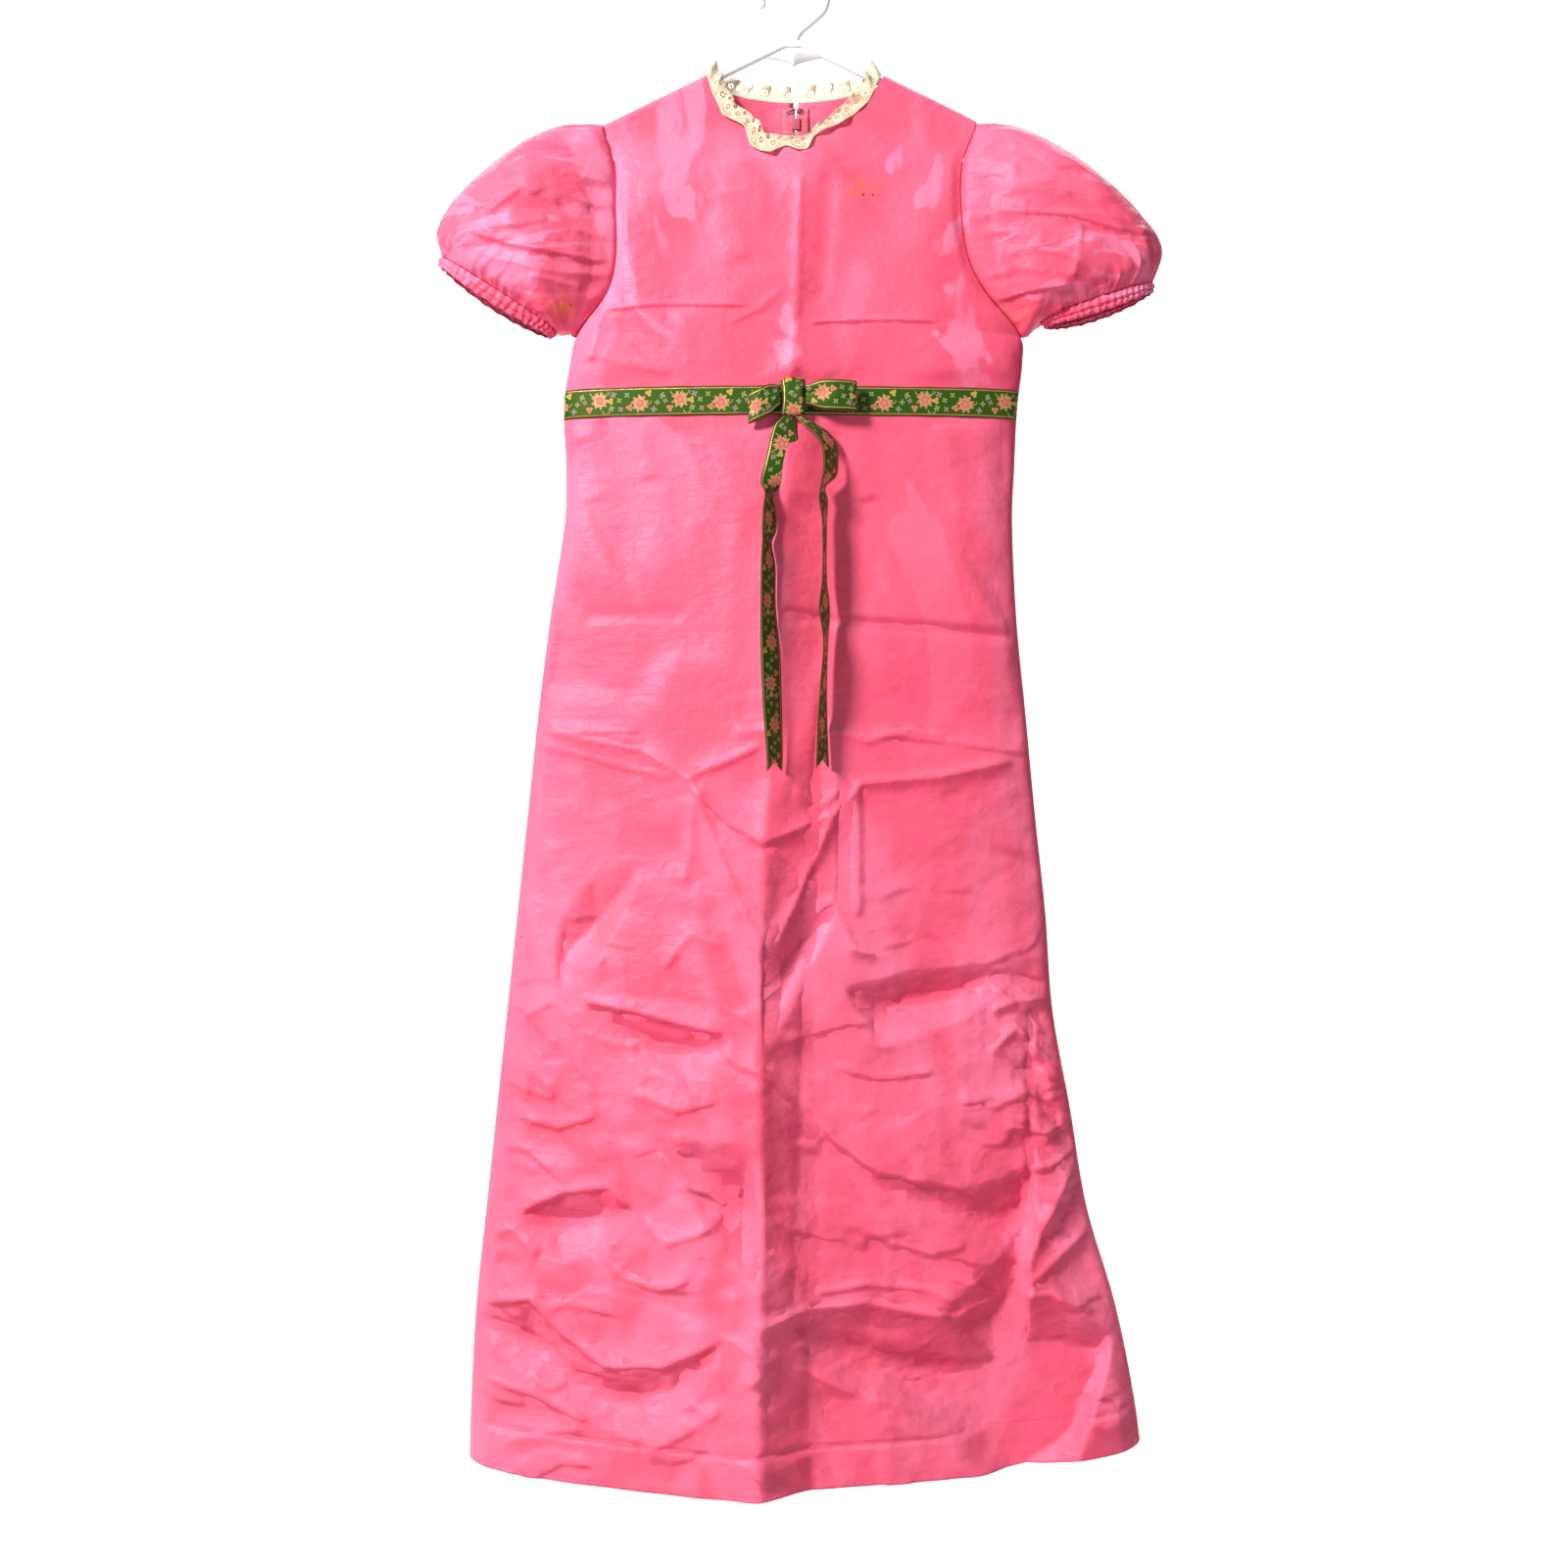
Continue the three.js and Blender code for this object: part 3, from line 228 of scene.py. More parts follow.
# Each is a line with its half width, its rise and its kind:
# a soft roll, a sharp crest, or a step that swells above its line and drops at it
ROLL, CREST, STEP = 0, 1, 2
CREASES = [
    # the fold network in the middle of the skirt
    ([(-230, -745), (-147, -760), (-101, -786), (-66, -772), (-32, -757)], 7, 4.0, CREST),
    ([(-98, -788), (-75, -850), (-30, -955)], 8, 6.0, CREST),
    ([(-92, -800), (-60, -830), (-26, -850)], 8, 4.5, STEP),
    ([(-96, -808), (-97, -850), (-104, -885)], 6, 3.5, CREST),
    ([(62, -793), (140, -786), (205, -772)], 7, 4.0, CREST),
    ([(62, -794), (40, -820), (-22, -846)], 7, 4.5, CREST),
    ([(37, -824), (8, -890), (-18, -948)], 8, 6.5, CREST),
    ([(47, -800), (47, -905)], 4, -3.0, ROLL), ([(60, -800), (61, -915)], 4, 2.6, ROLL),
    ([(32, -740), (70, -752), (110, -742), (142, -748)], 6, 2.6, CREST),
    ([(2, -798), (18, -812), (30, -811), (44, -798)], 6, 3.0, CREST),
    ([(-20, -955), (10, -925), (36, -905), (58, -950), (76, -955)], 6, 3.5, CREST),
    ([(-122, -965), (-115, -955), (-98, -935), (-70, -945)], 6, 3.0, CREST),
    # long horizontal ones, from years of folding
    ([(-200, -630), (-107, -632)], 8, -1.8, ROLL), ([(-14, -633), (40, -638), (208, -652)], 6, -2.2, ROLL),
    ([(-240, -742), (-150, -744)], 8, 2.4, STEP), ([(-246, -755), (-120, -788)], 7, 2.4, STEP),
    ([(-55, -744), (-22, -742)], 8, 2.6, CREST), ([(80, -745), (222, -762)], 7, 2.2, STEP),
    ([(-196, -998), (-130, -1012), (-70, -1026)], 8, 5.0, STEP),
    ([(-4, -1035), (50, -1020), (110, -1016)], 8, 2.6, STEP),
    ([(-60, -914), (-40, -912)], 9, 1.8, ROLL), ([(-222, -955), (-210, -968), (-180, -960)], 6, 2.5, CREST),
    ([(-258, -1015), (-230, -1000), (-200, -1030), (-150, -1042)], 7, 3.5, CREST),
    # the crumpled left side
    ([(184, -980), (205, -1000), (225, -1010)], 7, 5.0, CREST),
    ([(190, -1010), (215, -1000), (250, -1000)], 6, 4.5, CREST),
    ([(190, -1045), (214, -1026), (236, -1050), (262, -1075)], 8, 6.0, CREST),
    ([(228, -1060), (240, -1100), (268, -1140)], 7, -5.0, ROLL),
    ([(215, -1085), (240, -1095), (270, -1090)], 6, 4.5, CREST),
    ([(205, -1120), (240, -1128), (272, -1118)], 6, 4.5, STEP),
    ([(215, -1165), (245, -1160), (278, -1140)], 6, 4.5, STEP),
    ([(276, -1150), (250, -1195), (226, -1240), (211, -1278)], 13, 10.0, CREST),
    ([(290, -1216), (260, -1240), (226, -1268)], 9, 6.0, CREST),
    ([(227, -1020), (226, -1140), (227, -1228)], 4, -3.5, ROLL),
    ([(10, -1088), (40, -1130), (81, -1160), (152, -1174), (181, -1188)], 12, 5.5, STEP),
    ([(160, -1090), (190, -1100), (214, -1092)], 7, 3.5, CREST),
    ([(40, -1060), (80, -1072), (130, -1066)], 8, 2.6, STEP),
    ([(90, -1225), (130, -1238), (160, -1232)], 8, 3.0, STEP),
    # the deep fold low on the left half
    ([(-28, -1296), (9, -1285), (68, -1281), (114, -1292),
      (156, -1298), (211, -1282), (246, -1280), (282, -1296)], 9, 7.0, CREST),
    ([(20, -1270), (68, -1264), (120, -1270), (150, -1282)], 6, 4.0, CREST),
    ([(58, -1322), (120, -1330), (200, -1345)], 12, 3.0, ROLL),
    ([(0, -1340), (60, -1368), (140, -1395)], 9, 3.0, CREST),
    # wavy folds low on the right half
    ([(-309, -1288), (-250, -1281), (-220, -1312),
      (-178, -1340), (-125, -1338), (-75, -1312)], 12, 6.5, STEP),
    ([(-312, -1356), (-250, -1372), (-200, -1392)], 10, 5.0, STEP),
    ([(-135, -1417), (-100, -1395), (-70, -1372)], 10, 5.0, CREST),
    ([(-258, -1198), (-220, -1180), (-176, -1174), (-160, -1190)], 9, 5.0, STEP),
    ([(-182, -1236), (-160, -1258), (-126, -1266), (-100, -1256)], 8, 5.0, CREST),
    ([(-141, -1206), (-121, -1222), (-90, -1212), (-66, -1196)], 8, 5.0, CREST),
    ([(-125, -1140), (-100, -1165), (-60, -1190)], 9, 6.0, STEP),
    ([(-262, -1112), (-225, -1120), (-190, -1108)], 8, 3.5, STEP),
    ([(-292, -1075), (-230, -1092)], 9, 3.0, STEP),
    ([(-150, -1085), (-110, -1098), (-76, -1090)], 9, 3.5, STEP),
    ([(-275, -1420), (-200, -1400)], 9, 3.5, CREST),
    ([(-300, -1225), (-270, -1218), (-245, -1240)], 8, 4.0, CREST),
    ([(-60, -1265), (-42, -1300), (-36, -1350)], 8, 4.0, CREST),
    # the bodice, with its pressed centre line
    ([(7, -212), (5, -260), (3, -330), (-2, -409)], 9, 3.4, CREST),
    ([(34, -205), (31, -260), (24, -330)], 10, -2.4, ROLL),
    ([(-180, -337), (-120, -334), (-48, -336)], 4, 1.7, STEP),
    ([(20, -352), (80, -349), (134, -350)], 4, 1.9, STEP),
    ([(134, -350), (140, -365)], 3, 1.0, CREST), ([(-60, -352), (-35, -340), (-8, -318)], 5, 1.1, CREST),
    ([(18, -318), (40, -342), (60, -352)], 5, 1.1, CREST), ([(-90, -232), (-40, -222)], 6, 0.9, CREST),
    ([(-196, -312), (-186, -345), (-196, -385)], 9, 2.5, CREST),
    ([(160, -190), (130, -260), (110, -300)], 30, 2.2, ROLL),
    ([(-120, -180), (-140, -260), (-130, -320)], 34, 2.6, ROLL),
    ([(-60, -190), (-50, -290)], 22, 3.0, ROLL), ([(-200, -380), (-120, -400)], 10, 2.2, CREST),
    # under the ribbon, with the centre line's crest
    ([(-5, -448), (-8, -560), (-14, -650), (-24, -800), (-31, -1000), (-32, -1440)], 10, 1.5, ROLL),
    ([(26, -700), (16, -900), (6, -1100), (3, -1280)], 5, -1.8, ROLL),
    ([(-205, -455), (-190, -520)], 16, 2.4, ROLL), ([(-150, -450), (-140, -500)], 12, 2.0, ROLL),
    ([(60, -450), (70, -520)], 14, 2.0, ROLL), ([(140, -450), (150, -560)], 14, 2.2, ROLL),
]

# Hollows lie between an upper and a lower line, and lean in under the upper one by their slope
HOLLOWS = [
    ([(0, -1291), (68, -1285), (114, -1296), (156, -1302), (211, -1287), (262, -1292), (305, -1322)],
     [(0, -1292), (19, -1312), (119, -1352), (219, -1390), (267, -1376), (305, -1330)], 0.40),
    ([(-130, -1125), (-60, -1125), (-34, -1132)],
     [(-130, -1128), (-100, -1150), (-60, -1182), (-34, -1200)], 0.35),
    ([(-208, -996), (-140, -1012), (-90, -1023), (-62, -1030)],
     [(-208, -998), (-160, -1028), (-100, -1046), (-62, -1036)], 0.36),
    ([(50, -986), (110, -972), (170, -966), (205, -972)],
     [(50, -988), (80, -1007), (150, -992), (205, -976)], 0.45),
    ([(-312, -1290), (-248, -1286), (-214, -1314), (-167, -1342), (-114, -1338), (-71, -1312)],
     [(-312, -1300), (-248, -1322), (-214, -1348), (-167, -1372), (-114, -1364), (-71, -1320)], 0.34),
    ([(-258, -1200), (-220, -1183), (-176, -1176), (-150, -1192)],
     [(-258, -1204), (-220, -1214), (-176, -1202), (-150, -1196)], 0.38),
    ([(81, -1162), (152, -1175), (200, -1168), (228, -1150)],
     [(81, -1166), (152, -1194), (200, -1206), (228, -1200)], 0.34),
    ([(140, -1290), (190, -1250), (222, -1212)], [(140, -1294), (190, -1296), (222, -1282)], 0.38),
    ([(-225, -925), (-190, -880), (-150, -868)], [(-225, -960), (-190, -925), (-150, -878)], 0.2),
    ([(-28, -930), (8, -912), (40, -900)], [(-28, -990), (8, -945), (40, -906)], 0.22),
]


def crease_rise(rows, x, z):
    """How far the creases lift each point. x and z are in metres."""
    total = np.zeros_like(x)
    for line, width, rise, kind in rows:
        reach = 5 * width * MM
        xs, zs = [p[0] * MM for p in line], [p[1] * MM for p in line]
        near = (x > min(xs) - reach) & (x < max(xs) + reach) & (z > min(zs) - reach) & (z < max(zs) + reach)
        if not near.any():
            continue
        px, pz = x[near], z[near]
        away, above = np.full(px.shape, 9.0), np.zeros(px.shape, bool)
        for x1, z1, x2, z2 in zip(xs, zs, xs[1:], zs[1:]):
            dx, dz = x2 - x1, z2 - z1
            t = np.clip(((px - x1) * dx + (pz - z1) * dz) / (dx * dx + dz * dz), 0, 1)
            off_z = pz - z1 - t * dz
            here = np.hypot(px - x1 - t * dx, off_z)
            above = np.where(here < away, off_z > 0, above)
            away = np.minimum(away, here)
        away = away / (width * MM)
        ends = (px - xs[0]) * (xs[-1] - xs[0]) + (pz - zs[0]) * (zs[-1] - zs[0])
        ends = ends / max(1e-9, (xs[-1] - xs[0]) ** 2 + (zs[-1] - zs[0]) ** 2)
        fade_ends = smooth((0.5 - np.abs(ends - 0.5)) / 0.16 + 0.55)
        if kind == ROLL:
            shape = np.exp(-away ** 2)
        elif kind == CREST:
            rounded_away = np.hypot(away, 0.22) - 0.22
            shape = 0.72 * np.exp(-rounded_away * 2.1) + 0.28 * np.exp(-away ** 2 / 3)
        else:
            shape = np.where(above, np.exp(-away * 0.6), np.exp(-(away * 2.4) ** 2))
        total[near] += rise * MM * shape * fade_ends * smooth((5 - away) / 1.5)
    return total


# The hollows' slopes are all deepened by this much
HOLLOW_GAIN = 1.35


def hollow_rise(rows, x, z):
    """The recess of the hollows: 0 at the upper line, deepest at the lower one, then back out again."""
    total = np.zeros_like(x)
    for upper, lower, slope in rows:
        xs = [p[0] * MM for p in upper]
        top = np.interp(x, xs, [p[1] * MM for p in upper])
        low = np.interp(x, [p[0] * MM for p in lower], [p[1] * MM for p in lower])
        tall = np.maximum(top - low, 1e-6)
        inside = np.clip((top - z) / tall, 0, 1)
        back_out = 1 - smooth((low - z) / (0.9 * tall + 10 * MM))
        span = smooth((x - xs[0]) / (12 * MM) + 0.3) * smooth((xs[-1] - x) / (12 * MM) + 0.3)
        total -= HOLLOW_GAIN * slope * tall * (inside ** 1.15) * back_out * span
    return total


def sagging(u, v, pitch, turn):
    """Soft steps across the cloth: each swells slowly on its way down and then falls back at once."""
    phase = v / pitch + 0.95 * noise(u / 105 + turn, v / 90) + 0.3 * noise(u / 39, v / 31 + turn)
    share = phase - np.floor(phase)
    step = (1 - share) * smooth(share / 0.16)
    patch = smooth((noise(u / 72 + 5 + turn, v / 47 + 1) + 0.02) / 0.4)
    return step * patch


def facets(u, v, width, height, turn, sharp=9.0):
    """Flat facets of random tilt with crisp bends between them, in steps of their own width and height."""
    p = u / width + 0.35 * noise(u / (width * 1.4) + turn, v / (height * 1.6)) + turn
    q = v / height + 0.35 * noise(u / (width * 1.4), v / (height * 1.6) + turn + 17)
    ip, iq = np.floor(p).astype(int), np.floor(q).astype(int)
    total, weights = 0, 0
    for dp in (-1, 0, 1):
        for dq in (-1, 0, 1):
            jitter = _JITTER[(ip + dp) % PERIOD, (iq + dq) % PERIOD]
            away_p = p - (ip + dp) - jitter[..., 0]
            away_q = q - (iq + dq) - jitter[..., 1]
            near = np.exp(-sharp * np.hypot(away_p, away_q))
            lean = jitter[..., 2] * away_p + jitter[..., 3] * away_q + 0.25 * jitter[..., 4]
            total = total + near * lean
            weights = weights + near
    return total / weights


def crumple(x, z, face):
    """The cloth's own unevenness: soft swells, sagging steps and flat facets, more of them lower down."""
    u, v = x / MM, z / MM
    turn = 1 if face < 0 else 23
    low = smooth((-z - 0.70) / 0.5)
    patch = lerp(0.35, 1, smooth((noise(u / 140 + turn, v / 110 + 8) + 0.25) / 0.5))
    broad = noise(u / 120 + turn, v / 150 + 3) * lerp(2.4, 5.0, low)
    steps = (sagging(u, v + 0.18 * u, 58, turn) - 0.2) * lerp(0.2, 3.4, low)
    large = facets(u, v + 0.15 * u, 84, 52, turn) * lerp(0.6, 4.6, low)
    planes = facets(u + 0.25 * v, v, 118, 150, turn + 13, 14.0) * lerp(7.5, 3.5, low)
    small = facets(u, v - 0.2 * u, 36, 23, turn + 5) * lerp(0.4, 1.9, low) * patch
    side = smooth((x - 0.17) / 0.07) * smooth((-z - 0.94) / 0.05) * smooth((z + 1.28) / 0.1)
    rough = facets(u, v + 0.5 * u, 27, 17, turn + 9) * 5.0
    return (broad + steps + large + planes + small + rough * side) * MM


def mirrored(rows, place):
    """The hidden side's version of a row: mirrored, moved a little and calmer."""
    shift = 30 * math.sin(place * 1.7)
    return [(-x + shift, z - 14) for x, z in rows]


BACK_CREASES = [(mirrored(line, i), width * 1.15, rise * 0.8, kind)
                for i, (line, width, rise, kind) in enumerate(CREASES) if i % 4]
BACK_HOLLOWS = [(mirrored(upper, 5)[::-1], mirrored(lower, 5)[::-1], slope * 0.8)
                for upper, lower, slope in HOLLOWS[1:]]


def body_surface(face, x, z):
    """Points of the body's outer surface, with its creases."""
    _, _, middle, half = section(z)
    s = np.clip(np.abs(x - middle) / half, 0, 1)
    depth = body_depth(face, x, z)
    drop = np.maximum(0, shoulder_line(x) - z)
    free = smooth((1 - s) / 0.07) * smooth((drop - 6 * MM) / (70 * MM))
    free = free * smooth((np.abs(z - WAIST_Z) - 12 * MM) / (22 * MM))
    rise = crease_rise(CREASES if face < 0 else BACK_CREASES, x, z) + crumple(x, z, face)
    rise = rise + hollow_rise(HOLLOWS if face < 0 else BACK_HOLLOWS, x, z)
    q = np.arcsin(np.clip((x - middle) / half, -1, 1)) / (math.pi / 2)
    under_line = hem_edge(q) + HEM_DEPTH - HEM_STITCH_DROP - z
    rise = rise + 0.9 * MM * smooth(under_line / (2 * MM))
    rise = rise - 1.7 * MM * np.exp(-(under_line / (2.4 * MM)) ** 2)
    depth = depth + np.maximum(rise * free, -0.55 * depth)
    return np.stack([x, face * (np.maximum(depth, 0) + SEAM / 2), z], axis=-1)


# ---- shells ----

def normals_of(grid, ring=False):
    across = np.empty_like(grid)
    if ring:
        across = np.roll(grid, -1, axis=1) - np.roll(grid, 1, axis=1)
    else:
        across[:, 1:-1] = grid[:, 2:] - grid[:, :-2]
        across[:, 0], across[:, -1] = grid[:, 1] - grid[:, 0], grid[:, -1] - grid[:, -2]
    down = np.empty_like(grid)
    down[1:-1] = grid[2:] - grid[:-2]
    down[0], down[-1] = grid[1] - grid[0], grid[-1] - grid[-2]
    normals = np.cross(across, down)
    normals /= np.maximum(np.linalg.norm(normals, axis=-1, keepdims=True), 1e-12)
    if ring:
        outward = ((grid - grid.mean(axis=1, keepdims=True)) * normals).sum()
    else:
        outward = (grid[..., :2] * normals[..., :2]).sum()
    return normals if outward > 0 else -normals


def surface_lengths(grid, ring=False):
    """UV in metres along the cloth: u across a row from its middle, v down from the top."""
    rows, columns = grid.shape[:2]
    step = np.linalg.norm(np.diff(grid, axis=1), axis=-1)
    u = np.concatenate([np.zeros((rows, 1)), np.cumsum(step, axis=1)], axis=1)
    if ring:
        close = np.linalg.norm(grid[:, 0] - grid[:, -1], axis=-1)[:, None]
        u = np.concatenate([u, u[:, -1:] + close], axis=1)
    u = u - u[:, u.shape[1] // 2][:, None]
    fall = np.linalg.norm(np.diff(grid, axis=0), axis=-1)
    v = np.concatenate([np.zeros((1, columns)), np.cumsum(fall, axis=0)])
    if ring:
        v = np.concatenate([v, v[:, :1]], axis=1)
    return u, v


def mesh_object(name, points, faces, uvs):
    mesh = bpy.data.meshes.new(name)
    mesh.from_pydata([tuple(p) for p in points], [], faces)
    layer = mesh.uv_layers.new(name="UVMap")
    loops = np.array([u for face in uvs for u in face], dtype=np.float32)
    layer.data.foreach_set("uv", loops.ravel())
    mesh.polygons.foreach_set("use_smooth", [True] * len(mesh.polygons))
    mesh.validate()
    mesh.update()
    made = bpy.data.objects.new(name, mesh)
    bpy.context.scene.collection.objects.link(made)
    return made


def paint_slope_light_and_shade(made, normals, round_it):
    """How far the cloth leans up or to the right, 0 to 1. It drives painted light and shade: the taffeta is
    painted paler where the cloth leans this way and darker where it leans away.
    """
    tilt = 0.5 + 0.85 * normals[:, 2] - 0.42 * normals[:, 0]
    lean = made.data.attributes.new("tilt", "FLOAT", "POINT")
    if round_it:
        tilt = 0.5 + 0.5 * (tilt - 0.5)
    lean.data.foreach_set("value", np.clip(tilt, 0, 1).astype(np.float32))


def shell(name, grid, thickness, ring=False, trim=None, uv=None, coarse=1):
    """A closed thin wall under a grid of points. Its hidden inner side can be coarser."""
    rows, columns = grid.shape[:2]
    thickness = np.broadcast_to(np.asarray(thickness, float), (rows, columns))
    inner = grid - normals_of(grid, ring) * thickness[..., None]
    if trim:
        inner = trim(inner)
    u, v = surface_lengths(grid, ring) if uv is None else uv
    last_row, last_column = rows - 1, columns if ring else columns - 1
    inner_rows = sorted({*range(0, last_row, coarse), last_row})
    inner_columns = sorted({*range(0, last_column, coarse), last_column})
    kept = inner[inner_rows][:, [c % columns for c in (inner_columns[:-1] if ring else inner_columns)]]
    across = kept.shape[1]
    points = np.concatenate([grid.reshape(-1, 3), kept.reshape(-1, 3)])

    def outer_at(j, i):
        return j * columns + i % columns

    def inner_at(j, i):
        return rows * columns + j * across + i % across

    def quads(row_at, column_at, index):
        """Four corners of each cell, as point numbers and as places in the UV arrays."""
        j, i = np.meshgrid(np.arange(len(row_at) - 1), np.arange(len(column_at) - 1), indexing="ij")
        steps = [(0, 0), (1, 0), (1, 1), (0, 1)]
        corners = np.stack([index(j + dj, i + di).ravel() for dj, di in steps], axis=1)
        row_at, column_at = np.array(row_at), np.array(column_at)
        places = [(row_at[j + dj].ravel(), column_at[i + di].ravel()) for dj, di in steps]
        return corners, np.stack([np.stack([u[p], v[p]], axis=-1) for p in places], axis=1)

    outer, outer_uv = quads(range(rows), range(last_column + 1), outer_at)
    back, back_uv = quads(inner_rows, inner_columns, inner_at)
    faces = outer.tolist() + back[:, ::-1].tolist()
    uvs = outer_uv.tolist() + back_uv[:, ::-1].tolist()

    def rim(outer_line, inner_line, flip):
        """The strip between the two sides' edges. Each inner step spans one or more outer ones."""
        for (first, j1, i1), (second, j2, i2) in zip(inner_line, inner_line[1:]):
            span = [p for p in outer_line
                    if min(j1, j2) <= p[1] <= max(j1, j2) and min(i1, i2) <= p[2] <= max(i1, i2)]
            face = [p[0] for p in span] + [second, first]
            here = [(u[j, i], v[j, i]) for _, j, i in span]
            here += [(u[j2, i2], v[j2, i2]), (u[j1, i1], v[j1, i1])]
            faces.append(face[::-1] if flip else face)
            uvs.append(here[::-1] if flip else here)

    for row, inner_row, flip in ((0, 0, False), (last_row, len(inner_rows) - 1, True)):
        rim([(outer_at(row, i), row, i) for i in range(last_column + 1)],
            [(inner_at(inner_row, n), row, i) for n, i in enumerate(inner_columns)], flip)
    if not ring:
        for column, inner_column, flip in ((0, 0, True), (last_column, len(inner_columns) - 1, False)):
            rim([(outer_at(j, column), j, column) for j in range(rows)],
                [(inner_at(n, inner_column), j, column) for n, j in enumerate(inner_rows)], flip)
    if signed_volume(points, outer) + signed_volume(points, back[:, ::-1]) < 0:
        faces, uvs = [face[::-1] for face in faces], [corner[::-1] for corner in uvs]
    made = mesh_object(name, points, faces, uvs)
    # Each point's lean, kept for the taffeta's painted light and shade by slope
    normals = [normals_of(side, ring).reshape(-1, 3) for side in (grid, kept)]
    paint_slope_light_and_shade(made, np.concatenate(normals), ring)
    made["inner_start"], made["inner_count"] = len(outer), len(back)
    return made


def inner_faces(made):
    """1 for each face on a shell's inner side, 0 for the others."""
    marks = np.zeros(len(made.data.polygons), dtype=np.int32)
    start = made["inner_start"]
    marks[start:start + made["inner_count"]] = 1
    return marks


def signed_volume(points, faces):
    a, b, c, d = (points[faces[:, n]] for n in range(4))
    one = np.einsum("ij,ij->i", a, np.cross(b, c))
    two = np.einsum("ij,ij->i", a, np.cross(c, d))
    return (one + two).sum()


# ---- panels ----

def neck_z(face, x):
    share = np.clip(x / NECK_POINT, -1, 1)
    if face > 0:
        return NECK_POINT_Z + (-129 * MM - NECK_POINT_Z) * np.sqrt(1 - share * share)
    return follow(FRONT_NECKLINE, "x", "z", x)


def top_edge(face, q):
    """A bodice panel's upper edge: shoulder seam, neckline, shoulder seam."""
    right, left, _, _ = section(SHOULDER_TIP_Z)
    t = (np.abs(q) - NECK_SHARE) / (1 - NECK_SHARE)
    on_shoulder = np.where(q < 0, lerp(-NECK_POINT, right, t), lerp(NECK_POINT, left, t))
    angle = np.clip(q / NECK_SHARE, -1, 1) * math.pi / 2
    in_neck = NECK_POINT * np.sin(angle) + centre_x(face, -178 * MM) * np.cos(angle) ** 2
    shoulder = np.abs(q) >= NECK_SHARE
    x = np.where(shoulder, on_shoulder, in_neck)
    return x, np.where(shoulder, shoulder_line(x), neck_z(face, x))


def bodice_places(face, q, t, drop):
    """x and z over a bodice panel. Rows with t of 0 are "drop" under the upper edge."""
    bottom = WAIST_Z + SEAM / 2
    tip_right, tip_left, _, _ = section(SHOULDER_TIP_Z)
    low_right, low_left, _, _ = section(bottom)
    _, top_z = top_edge(face, q)
    z = np.where(t > 0, lerp(top_z - 16 * MM, bottom, t), top_z - drop)
    share = smooth(t)

    def place(at):
        share_top = (top_edge(face, at)[0] - tip_right) / (tip_left - tip_right)
        share_low = (column_x(face, at, bottom) - low_right) / (low_left - low_right)
        right, left, _, _ = section(z)
        return lerp(right, left, lerp(share_top, share_low, share))

    pull = (centre_x(face, z) - place(np.zeros_like(q))) * (1 - np.abs(q)) ** 2 * share
    return place(q) + pull, z


TOP_DROPS = np.array([0.01, 0.3, 0.8, 1.6, 2.6, 3.8, 5.2, 6.9, 9, 12, 16]) * MM


def columns_of(half, count):
    """Column shares of a panel, with more of them beside the neck points."""
    low, high = span_of(half)
    q = np.linspace(low, high, count)
    near = NECK_SHARE + np.array([-0.05, -0.035, -0.022, -0.012, -0.006, 0, 0.006, 0.015])
    extra = np.concatenate([-near, near])
    extra = extra[(extra > low) & (extra < high)]
    apart = np.abs(q[:, None] - extra[None]).min(axis=1) > 0.004
    return np.sort(np.concatenate([q[apart], extra]))


def part(grid, half):
    """A back half keeps clear of the zip, and below it of the other half."""
    gap = np.where(grid[..., 2] > ZIP_END_Z, ZIP_SLOT / 2, SEAM / 2)
    gap = lerp(SEAM / 2, gap, smooth((grid[..., 2] - ZIP_END_Z + 6 * MM) / (12 * MM)))
    edge = CENTRE_BACK + half * gap
    x = np.minimum(grid[..., 0], edge) if half < 0 else np.maximum(grid[..., 0], edge)
    return np.concatenate([x[..., None], grid[..., 1:]], axis=-1)


def keep_off(face, half):
    def trim(points):
        points = points.copy()
        points[..., 1] = face * np.maximum(face * points[..., 1], SEAM / 2)
        return part(points, half) if half else points
    return trim


def bodice_grid(face, half, columns, rows):
    q1 = columns_of(half, columns)
    t1 = np.concatenate([np.zeros(len(TOP_DROPS)), np.linspace(0, 1, rows)[1:]])
    d1 = np.concatenate([TOP_DROPS, np.zeros(rows - 1)])
    t, q = np.meshgrid(t1, q1, indexing="ij")
    drop, _ = np.meshgrid(d1, q1, indexing="ij")
    x, z = bodice_places(face, q, t, drop)
    grid = body_surface(face, x, z)
    return part(grid, half) if half else grid


def skirt_grid(face, half, columns, rows):
    low, high = span_of(half)
    t, q = np.meshgrid(np.linspace(0, 1, rows), np.linspace(low, high, columns), indexing="ij")
    z = lerp(WAIST_Z - SEAM / 2, hem_edge(q), t)
    grid = body_surface(face, column_x(face, q, z), z)
    return part(grid, half) if half else grid


def hem_thickness(grid):
    """The hem is turned up and sewn, so the cloth is thicker there."""
    z = grid[..., 2]
    _, _, middle, half = section(z)
    q = np.arcsin(np.clip((grid[..., 0] - middle) / half, -1, 1)) / (math.pi / 2)
    return np.where(z < hem_edge(q) + HEM_DEPTH, CLOTH + 0.7 * MM, CLOTH)


